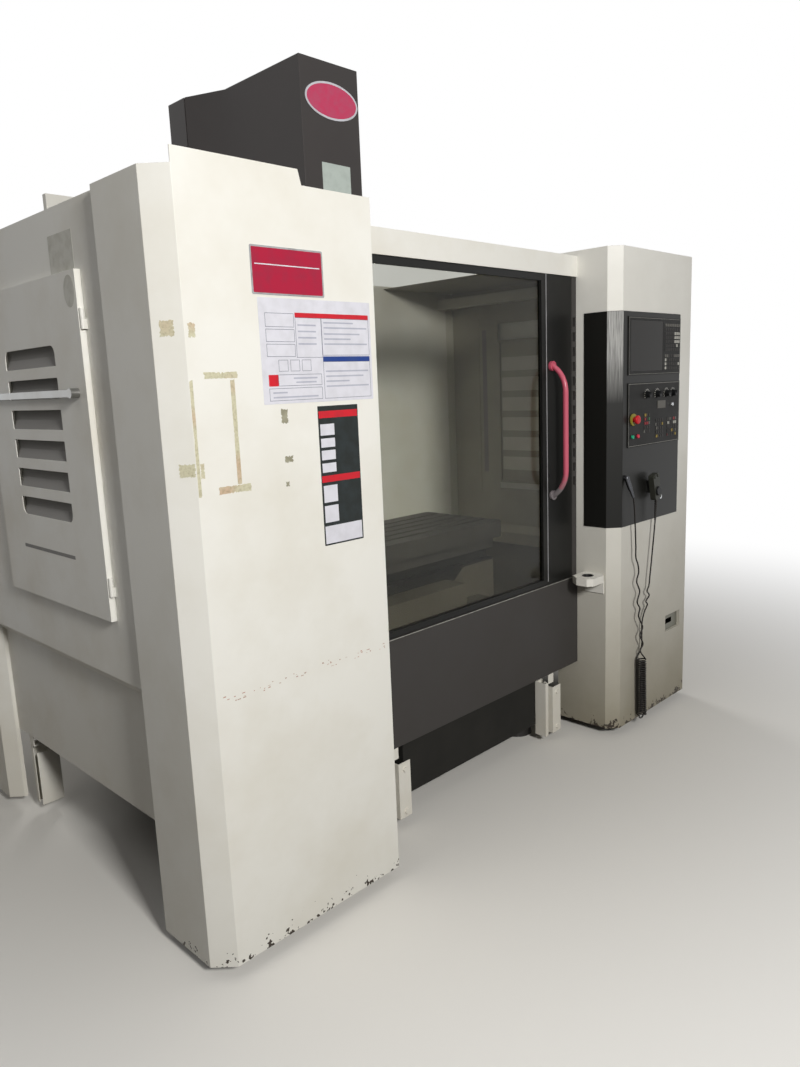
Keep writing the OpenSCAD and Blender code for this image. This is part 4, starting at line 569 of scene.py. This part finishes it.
red_ink = printed("crimson_screen_print", "#a81538", "#98203c")
silver_rim = printed("brushed_aluminium_rim", "#a9a9ad", "#8c8b8c", 0.3)
white_film = printed("laminated_white_film", "#dddde6", "#d2d2da")
blue_ink = printed("deep_blue_print", "#1f3d86", "#2d4580")
rule_ink = printed("grey_blue_rule_print", "#565a70", "#6c6f80")
pale_ink = printed("pale_grey_print", "#b4b6c4", "#a9abba")
black_ink = printed("green_black_print", "#151b19", "#20282a")
sign_red = printed("signal_red_print", "#cf1f2e", "#b92632")
notice_left, notice_top, notice_width, notice_height = -1.1935, 1.977, 0.423, 0.294
pillar_face, notice_face, strip_face = (facing_front(y) for y in (-1.165, -1.1656, -1.1655))


def noticed(left, right, top, bottom):
    """Notice places as shares of the sheet, from its left edge and down from its top edge."""
    return (notice_left + notice_width * left, notice_left + notice_width * right,
            notice_top - notice_height * bottom, notice_top - notice_height * top)


ruled = ((0.05, 0.29, 0.14, 0.27), (0.05, 0.29, 0.29, 0.41), (0.05, 0.29, 0.43, 0.55),
         (0.30, 0.53, 0.175, 0.56), (0.53, 0.98, 0.175, 0.54), (0.53, 0.98, 0.60, 0.97),
         (0.13, 0.51, 0.72, 0.83), (0.05, 0.51, 0.85, 0.97), (0.14, 0.22, 0.58, 0.69),
         (0.24, 0.32, 0.58, 0.69), (0.34, 0.42, 0.58, 0.69))
bars = ([(0.32, 0.48, t, t + 0.015) for t in (0.24, 0.30, 0.36, 0.42)]
        + [(0.55, 0.55 + w, t, t + 0.015) for w, t in (
            (0.28, 0.21), (0.41, 0.26), (0.34, 0.32), (0.25, 0.37), (0.41, 0.42), (0.41, 0.69), (0.36, 0.74),
            (0.22, 0.79), (0.41, 0.84))]
        + [(0.26, 0.47, 0.75, 0.765), (0.28, 0.46, 0.79, 0.805), (0.08, 0.2, 0.885, 0.90),
           (0.08, 0.47, 0.93, 0.945)])
strip_bars = ((1.582, 1.616), (1.546, 1.573), (1.508, 1.537), (1.470, 1.498), (1.378, 1.430), (1.316, 1.368))
for name, outlines, plane, thick, ink, slot in (
        ("name_plate_rim", [field(-1.2085, -0.9515, 1.984, 2.115, 0.004)], pillar_face, 0.0012, silver_rim,
         "bright_metal"),
        ("name_plate_face", [field(-1.2035, -0.9565, 1.989, 2.110, 0.003)], facing_front(-1.1662), 0.0002,
         red_ink, "pink_paint"),
        ("name_plate_line", [field(-1.195, -0.965, 2.064, 2.067, 0.001)], facing_front(-1.1664), 0.0001,
         white_film, "white_paint"),
        ("notice_sheet", [field(*noticed(0, 1, 0, 1), 0.003)], pillar_face, 0.0006, white_film,
         "white_paint"),
        ("notice_rules", sum((framed(*noticed(*box)) for box in ruled), []), notice_face, 0.0001, rule_ink,
         "black_paint"),
        ("notice_red_fields", [field(*noticed(0.30, 0.98, 0.13, 0.175)),
                               field(*noticed(0.05, 0.13, 0.72, 0.83))], notice_face, 0.0001, sign_red,
         "red_plastic"),
        ("notice_blue_field", [field(*noticed(0.53, 0.98, 0.55, 0.60))], notice_face, 0.0001, blue_ink,
         "black_paint"),
        ("notice_pale_fields", [field(*noticed(*bar), 0.0005) for bar in bars], notice_face, 0.0001, pale_ink,
         "grey_paint"),
        ("dark_strip_sheet", [field(-1.002, -0.841, 1.245, 1.670, 0.002)], pillar_face, 0.0005, black_ink,
         "black_paint"),
        ("dark_strip_red_fields", [field(-0.999, -0.844, 1.634, 1.655), field(-0.999, -0.844, 1.440, 1.460)],
         strip_face, 0.0001, sign_red, "red_plastic"),
        ("dark_strip_pale_fields", [field(-0.995, -0.940, *bar) for bar in strip_bars]
         + [field(-0.997, -0.846, 1.250, 1.305)], strip_face, 0.0001, white_film, "white_paint")):
    stuck_on(name, outlines, plane, thick, ink, "machine")

# What was torn off the left pillar: strips of old tape glue, yellowed and tan, scraped marks and a line
# of reddish scuffs at trolley height.
chance = np.random.default_rng(11)


def torn(u0, u1, v0, v1, rough, points=56):
    """Torn edge: a rectangle's outline walked at even steps, each point moved by two sine waves whose
    phases are drawn once, and by a small random step."""
    corners = np.array([[u0, v0], [u1, v0], [u1, v1], [u0, v1], [u0, v0]])
    run = np.concatenate([[0], np.cumsum(np.linalg.norm(np.diff(corners, axis=0), axis=1))])
    at = np.linspace(0, run[-1], points, endpoint=False)
    edge = np.stack([np.interp(at, run, corners[:, 0]), np.interp(at, run, corners[:, 1])], 1)
    a, b = chance.uniform(0, 6.28, 2)
    wave = np.sin(at * 300 + a) * 0.5 + np.sin(at * 720 + b) * 0.3 + chance.uniform(-0.4, 0.4, points)
    outward = edge - np.array([(u0 + u1) / 2, (v0 + v1) / 2])
    outward /= np.linalg.norm(outward, axis=1)[:, None]
    return edge - outward * np.abs(wave)[:, None] * rough


# Old tape glue: tan patches 150 mm across in yellow, under fine grime, and matt.
glue, tree, place = blank("old_tape_glue")
patch = add(tree, "ShaderNodeTexNoise", {"Vector": place, "Scale": 7.0, "Detail": 2.0})
fine = add(tree, "ShaderNodeTexNoise", {"Vector": place, "Scale": 160.0, "Detail": 3.0})
share = add(tree, "ShaderNodeMapRange", {"Value": patch, "From Min": 0.54, "From Max": 0.68})
tint = add(tree, "ShaderNodeMix", {"Factor": share, "A": linear("#cbc7ac"), "B": linear("#c7ae94")},
           data_type="RGBA")
grime = add(tree, "ShaderNodeMapRange", {"Value": fine, "From Min": 0.45, "From Max": 0.8, "To Max": 0.6})
tint = add(tree, "ShaderNodeMix", {"Factor": grime, "A": tint, "B": linear("#8d8263")}, data_type="RGBA")
coat(tree, {"Base Color": tint, "Roughness": 0.7})
stuck_on("glue_strips", [
    torn(-1.4265, -1.4165, 1.448, 1.758, 0.003, 90), torn(-1.383, -1.275, 1.759, 1.777, 0.006),
    torn(-1.301, -1.287, 1.470, 1.757, 0.003, 90), torn(-1.364, -1.256, 1.448, 1.470, 0.007),
    torn(-1.4150, -1.402, 1.497, 1.540, 0.004), torn(-1.418, -1.395, 1.864, 1.904, 0.006)],
    pillar_face, 0.0003, glue, "machine")
corner_face = (-1.4875, -1.105, 0), (0.70711, -0.70711, 0), (0, 0, 1)
stuck_on("glue_on_corner_face", [
    torn(0.020, 0.060, 1.868, 1.912, 0.006), torn(0.038, 0.084, 1.503, 1.540, 0.005)],
    corner_face, 0.0003, glue, "machine")
stuck_on("scraped_marks", [
    torn(-1.138, -1.112, 1.626, 1.670, 0.006), torn(-1.135, -1.102, 1.512, 1.534, 0.007),
    torn(-1.136, -1.122, 1.444, 1.460, 0.004)],
    pillar_face, 0.0002, printed("scraped_grey_mark", "#8f8c78", "#b5b29e", 0.6), "machine")
scuffs = 46
spots = np.stack([chance.uniform(-1.42, -0.71, scuffs), chance.uniform(0.857, 0.882, scuffs)], 1)
sizes = chance.uniform(0.0008, 0.0034, (scuffs, 2)) * np.array([1.8, 0.6])
stuck_on("trolley_scuffs", [
    torn(u - a, u + a, v - b, v + b, min(a, b) * 0.6, 12) for (u, v), (a, b) in zip(spots, sizes)],
    pillar_face, 0.0001, printed("reddish_scuff", "#b98d7c", "#a39686", 0.6), "machine")


# The cover over the head carries an oval emblem, red on a white rim, and a pale sticker. Both are printed
# film on the cover's front face, and bare.
def oval(u, v, wide, high, points=72):
    """Ellipse round (u, v), anticlockwise, with the half axes wide and high."""
    around = np.linspace(0, 2 * math.pi, points, endpoint=False)
    return np.stack([u + wide * np.cos(around), v + high * np.sin(around)], 1)


stuck_on("emblem_rim", [oval(0.008, 2.962, 0.152, 0.077)], facing_front(-0.1675), 0.0015, white_film, "head")
stuck_on("emblem_field", [oval(0.008, 2.962, 0.143, 0.068)], facing_front(-0.169), 0.0003,
         printed("emblem_pink_red", "#d2436a", "#c65575"), "head")
stuck_on("cover_sticker", [field(-0.068, 0.098, 2.560, 2.702, 0.002)], facing_front(-0.1675), 0.0004,
         printed("pale_green_white_film", "#c8d3cd", "#bcc7c1"), "head")

# Left flank: a bare sticker above the hatch, a bare disc on it and a felt vent strip in it. Both hatches
# have their louvre blades and a plate behind them in a mid grey: painted shade, for the shadow in the slots.
# The grey of felt, which also serves as painted shade in the hatches' slots and in the gap beside the right
# hatch.
felt_and_shade_grey = clouded("grey_felt_and_painted_shade", ("#8b8a88", "#9a9896"), 900.0, 2.0, {"Roughness": 0.9})
grey_film = printed("weathered_white_film", "#cfcec6", "#bdbbb1", 0.5)
flank_face, hatch_face = facing_left(-1.4675), facing_left(-1.4875)
stuck_on("flank_sticker", [field(0.496, 0.661, 2.094, 2.207, 0.002)], flank_face, 0.0004, grey_film,
         "machine")
stuck_on("hatch_disc", [oval(0.651, 2.032, 0.035, 0.046)], hatch_face, 0.0004, grey_film, "hatch_left")
stuck_on("hatch_vent_strip", [field(0.070, 0.484, 1.207, 1.219, 0.002)], hatch_face, 0.0004, felt_and_shade_grey,
         "hatch_left")


def refaced(node, finishes, pick, read="center"):
    """Gives each face of the dressed node the finish whose number pick works out from the face's centre or
    normal: 0 is the node's own, 1 and up are the finishes in turn."""
    form = bpy.data.objects[node + "_dressed"].data
    for finish in finishes:
        form.materials.append(finish)
    lie = np.empty(len(form.polygons) * 3)
    form.polygons.foreach_get(read, lie)
    form.polygons.foreach_set("material_index", pick(lie.reshape(-1, 3)).astype(np.int32))
    form.update()


louvre_middle, louvre_half = (1.4778, 0.2975, 1.62), (0.0065, 0.2225, 0.31)


def louvre_blade_in_shade(c):
    """1 for a louvre blade, which lies less than half the slots' field from its middle, on either side. Its
    faces take a mid grey as painted shade.
    """
    return np.all(np.abs(np.abs(c) - louvre_middle) < louvre_half, axis=1)


refaced("left_hatch", [felt_and_shade_grey], louvre_blade_in_shade)
refaced("right_hatch", [felt_and_shade_grey], louvre_blade_in_shade)
stuck_on("hatch_shade_sheet_left", [field(0.075, 0.520, 1.315, 1.905)], facing_left(-1.470), 0.001, felt_and_shade_grey,
         "hatch_left")
stuck_on("hatch_shade_sheet_right", [field(-0.520, -0.075, 1.315, 1.905)], ((1.470, 0, 0), (0, 1, 0), (0, 0, 1)),
         0.001, felt_and_shade_grey, "hatch_right")

# Inside, seen through the glass: the folded roof sheet over the right side with the cable duct under it,
# the hatch's frame on the right wall with a grey strip of painted shadow in the gap beside it, the rim, sheet
# and slats of the hatch's own inner panel, and the guard screwed to the front of the saddle's right wing.
# Coolant has stained all of them but the strip.
roof_plane, wall_face = ((0, 0, 2.268), (1, 0, 0), (0, 1, 0)), facing_left(1.4635)
stuck_on("roof_sheet", [field(0.857, 1.4625, -0.846, 0.424, 0.004)], roof_plane, 0.002, stained_enamel,
         "machine")
stuck_on("rear_corner_strip", [field(1.395, 1.462, 0.66, 2.266, 0.002)], facing_front(0.4245), 0.0025,
         inner_enamel, "machine")
stuck_on("cable_duct", [field(1.318, 1.382, 2.168, 2.226, 0.004)], facing_front(0.424), 1.262, inner_enamel,
         "machine")
stuck_on("hatch_frame_inside", framed(-0.250, 0.708, 0.971, 2.137, 0.036), wall_face, 0.003, stained_enamel,
         "machine")
stuck_on("hatch_gap_shadow_strip", [field(-0.190, -0.158, 1.16, 2.03)], wall_face, 0.0006, felt_and_shade_grey, "machine")
stuck_on("hatch_panel_rim", framed(-0.067, 0.655, 1.100, 1.960, 0.012), facing_left(1.4694), 0.010,
         stained_enamel, "hatch_right")
stuck_on("hatch_inner_sheet", [field(-0.068, 0.657, 1.098, 1.962, 0.002)], facing_left(1.4698), 0.0004,
         stained_enamel, "hatch_right")
slat_height, slat_feet = 0.080, 1.180 + 0.120 * np.arange(6)
stuck_on("hatch_slats", [field(-0.045, 0.60, low, low + slat_height, 0.003) for low in slat_feet],
         facing_left(1.4690), 0.002, inner_enamel, "hatch_right")
wing_outline = np.array([[0.225, 0.665], [0.555, 0.665], [0.555, 0.852], [0.330, 0.852], [0.225, 0.770]])
stuck_on("saddle_wing_guard", [wing_outline], facing_front(-0.578), 0.002, chip_enamel, "saddle_body")


def within(c, low, high):
    """True for the points c that lie between two corners of a box."""
    return np.all((c > low) & (c < high), axis=1)


# The guard on the saddle's own front, and the inner face of the whole right side panel.
guard_low, guard_high = (-0.335, -math.inf, -math.inf), (0.210, -0.577, 0.820)
refaced("saddle", [chip_enamel], lambda c: within(c, guard_low, guard_high))
refaced("right_side_panel", [stained_enamel], lambda n: n[:, 0] < -0.5, "normal")

# A pale line along the apron's top edge, under the door's leaf, is a painted highlight on the grey enamel's
# edge.
stuck_on("apron_edge_painted_highlight", [field(-0.745, 0.725, 0.7812, 0.7845, 0.001)], facing_front(-0.960), 0.0002,
         printed("apron_edge_highlight_paint", "#9b9a94", "#6d6b66", 0.4), "machine")


# Tool seat: a black nylon bush with a thin flange, pressed into its hole, so that the tool's cone doesn't
# wear the paint.
def turned(name, profile, centre, finish, body, steps=64):
    """Turned ring: the profile's (radius, height) points carried round Z, closed both ways."""
    a = np.linspace(0, 2 * math.pi, steps, endpoint=False)[:, None]
    points = np.stack([profile[:, 0] * np.cos(a), profile[:, 0] * np.sin(a), profile[:, 1] + 0 * a], 2)
    faces = grid_faces(steps, len(profile), True)[:, ::-1].tolist()
    piece = skinned(name, points + np.array(centre), faces, finish, True)
    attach(piece, body)


bush_profile = np.array([[0.0214, -0.030], [0.0214, 0.0010], [0.0222, 0.0018], [0.0262, 0.0018],
                         [0.0268, 0.0012], [0.0268, 0.0], [0.0222, 0.0], [0.0222, -0.030]])
turned("tool_seat_bush", bush_profile, (0.6595, -1.060, 0.8101), knob_abs, "machine")

# Panels of the controls: a thin pale rule round the operator plate and the display unit and tick scales
# round the knobs, all printed.
panel_face = facing_front(-1.172)
rule_white = printed("panel_rule_print", "#7e7d76", "#6b6a64")
stuck_on("plate_rule", framed(0.8205, 1.3125, 1.398, 1.683, 0.0022), panel_face, 0.0002, rule_white,
         "machine")
stuck_on("display_rule", framed(0.8205, 1.3125, 1.726, 1.979, 0.0016), panel_face, 0.0002, rule_white,
         "machine")
knob_row, knob_height = (0.9915, 1.0895, 1.1805, 1.2475), 1.630
tick_near, tick_far, tick_half = 0.0200, 0.0275, 0.0013


def tick(u, v, a):
    """A printed tick: a rectangle from its near to its far radius, turned clockwise by a from straight up."""
    along, aside = np.array([math.sin(a), math.cos(a)]), np.array([math.cos(a), -math.sin(a)])
    near, far_end = np.array([u, v]) + tick_near * along, np.array([u, v]) + tick_far * along
    return np.array([near - tick_half * aside, near + tick_half * aside, far_end + tick_half * aside,
                     far_end - tick_half * aside])


tick_turns = np.radians(np.arange(-120, 121, 24))
stuck_on("knob_scales", [tick(u, knob_height, a) for u in knob_row for a in tick_turns], panel_face,
         0.0001, printed("scale_print", "#d6d5cf", "#c4c3bd"), "machine")

# Key caps, moulded in pale, mid and dark grey, a few of them in colour, and the ring of the emergency stop.
# They are one with their panels, so each face takes the cap whose key it belongs to.
caps = [plastic(name, colour, 0.4, 0.05) for name, colour in (
    ("pale_key_cap", "#b3b2ab"), ("mid_key_cap", "#5d5b56"), ("dark_key_cap", "#23211f"),
    ("red_key_cap", "#8d2b31"), ("green_key_cap", "#3c6b4a"), ("amber_key_cap", "#94803a"),
    ("yellow_guard_ring", "#8d8534"))]
pale, mid, dark, red, green, amber, yellow = range(1, 8)
key_pitch, key_front = 0.019, -1.1722
first_column, upper_row, lower_row = 1.1575, 1.828, 1.742
estop_u, estop_v, ring_radius = 0.8625, 1.521, 0.0285
small_low, small_high = (1.092, -math.inf, 1.561), (1.171, key_front, 1.599)


def display_caps(c):
    """Column and row of each key from its face's centre: pale digits at the right, a mid-grey row above."""
    choice = np.zeros(len(c))
    key = (c[:, 1] < key_front) & (c[:, 0] > 1.158)
    column = np.floor((c[:, 0] - first_column) / key_pitch)
    upper, lower = (np.floor((c[:, 2] - row) / key_pitch) for row in (upper_row, lower_row))
    high = c[:, 2] > 1.827
    choice[key] = dark
    choice[key & high & (upper >= 2) & (upper <= 4) & (column >= 5)] = pale
    choice[key & high & (upper == 6)] = mid
    choice[key & high & (upper == 1) & (column == 6)] = pale
    choice[key & ~high & (lower == 3) & ((column < 2) | (column > 4))] = mid
    choice[key & ~high & (lower <= 2) & (column == 0)] = pale
    choice[key & ~high & (lower == 1) & (column == 7)] = pale
    return choice


def plate_caps(c):
    """Dark caps, with two fifths of them in grey or a colour by a fixed draw, and a yellow ring."""
    choice = np.zeros(len(c))
    ring = np.hypot(c[:, 0] - estop_u, c[:, 2] - estop_v) < ring_radius
    choice[ring & (c[:, 1] < -1.1721)] = yellow
    key = (c[:, 1] < key_front) & ~ring & (c[:, 2] < 1.54) & (c[:, 0] > 0.96)
    cell = np.floor(c[:, 0] / key_pitch) * 31 + np.floor(c[:, 2] / key_pitch)
    draw = np.modf(np.abs(np.sin(cell * 12.9898) * 43758.5453))[0][key]
    choice[key] = np.select([draw < 0.1, draw < 0.22, draw < 0.28, draw < 0.33, draw < 0.4],
                            [pale, mid, red, green, amber], dark)
    choice[within(c, small_low, small_high)] = mid
    return choice


refaced("display_unit", caps, display_caps)
refaced("operator_plate", caps, plate_caps)

# The latch plate behind the right pillar's small window: galvanised sheet, with the dull spangle of bare
# zinc. It is one with the pillar in the CAD, and all other faces keep the enamel.
latch_low, latch_high = (1.229, -1.1649, 0.4135), (1.384, -1.14, 0.4975)
refaced("right_front_pillar", [machined("galvanised_plate", "#8f8f88", "#6f6e62", 0.45, 0.5)],
        lambda c: within(c, latch_low, latch_high))

# A pale line runs down the door's right stile on the full height of the leaf.
stuck_on("stile_edge_line", [field(0.4885, 0.4935, 0.800, 2.228, 0.0015)], facing_front(-0.955), 0.0003,
         silver_rim, "door")
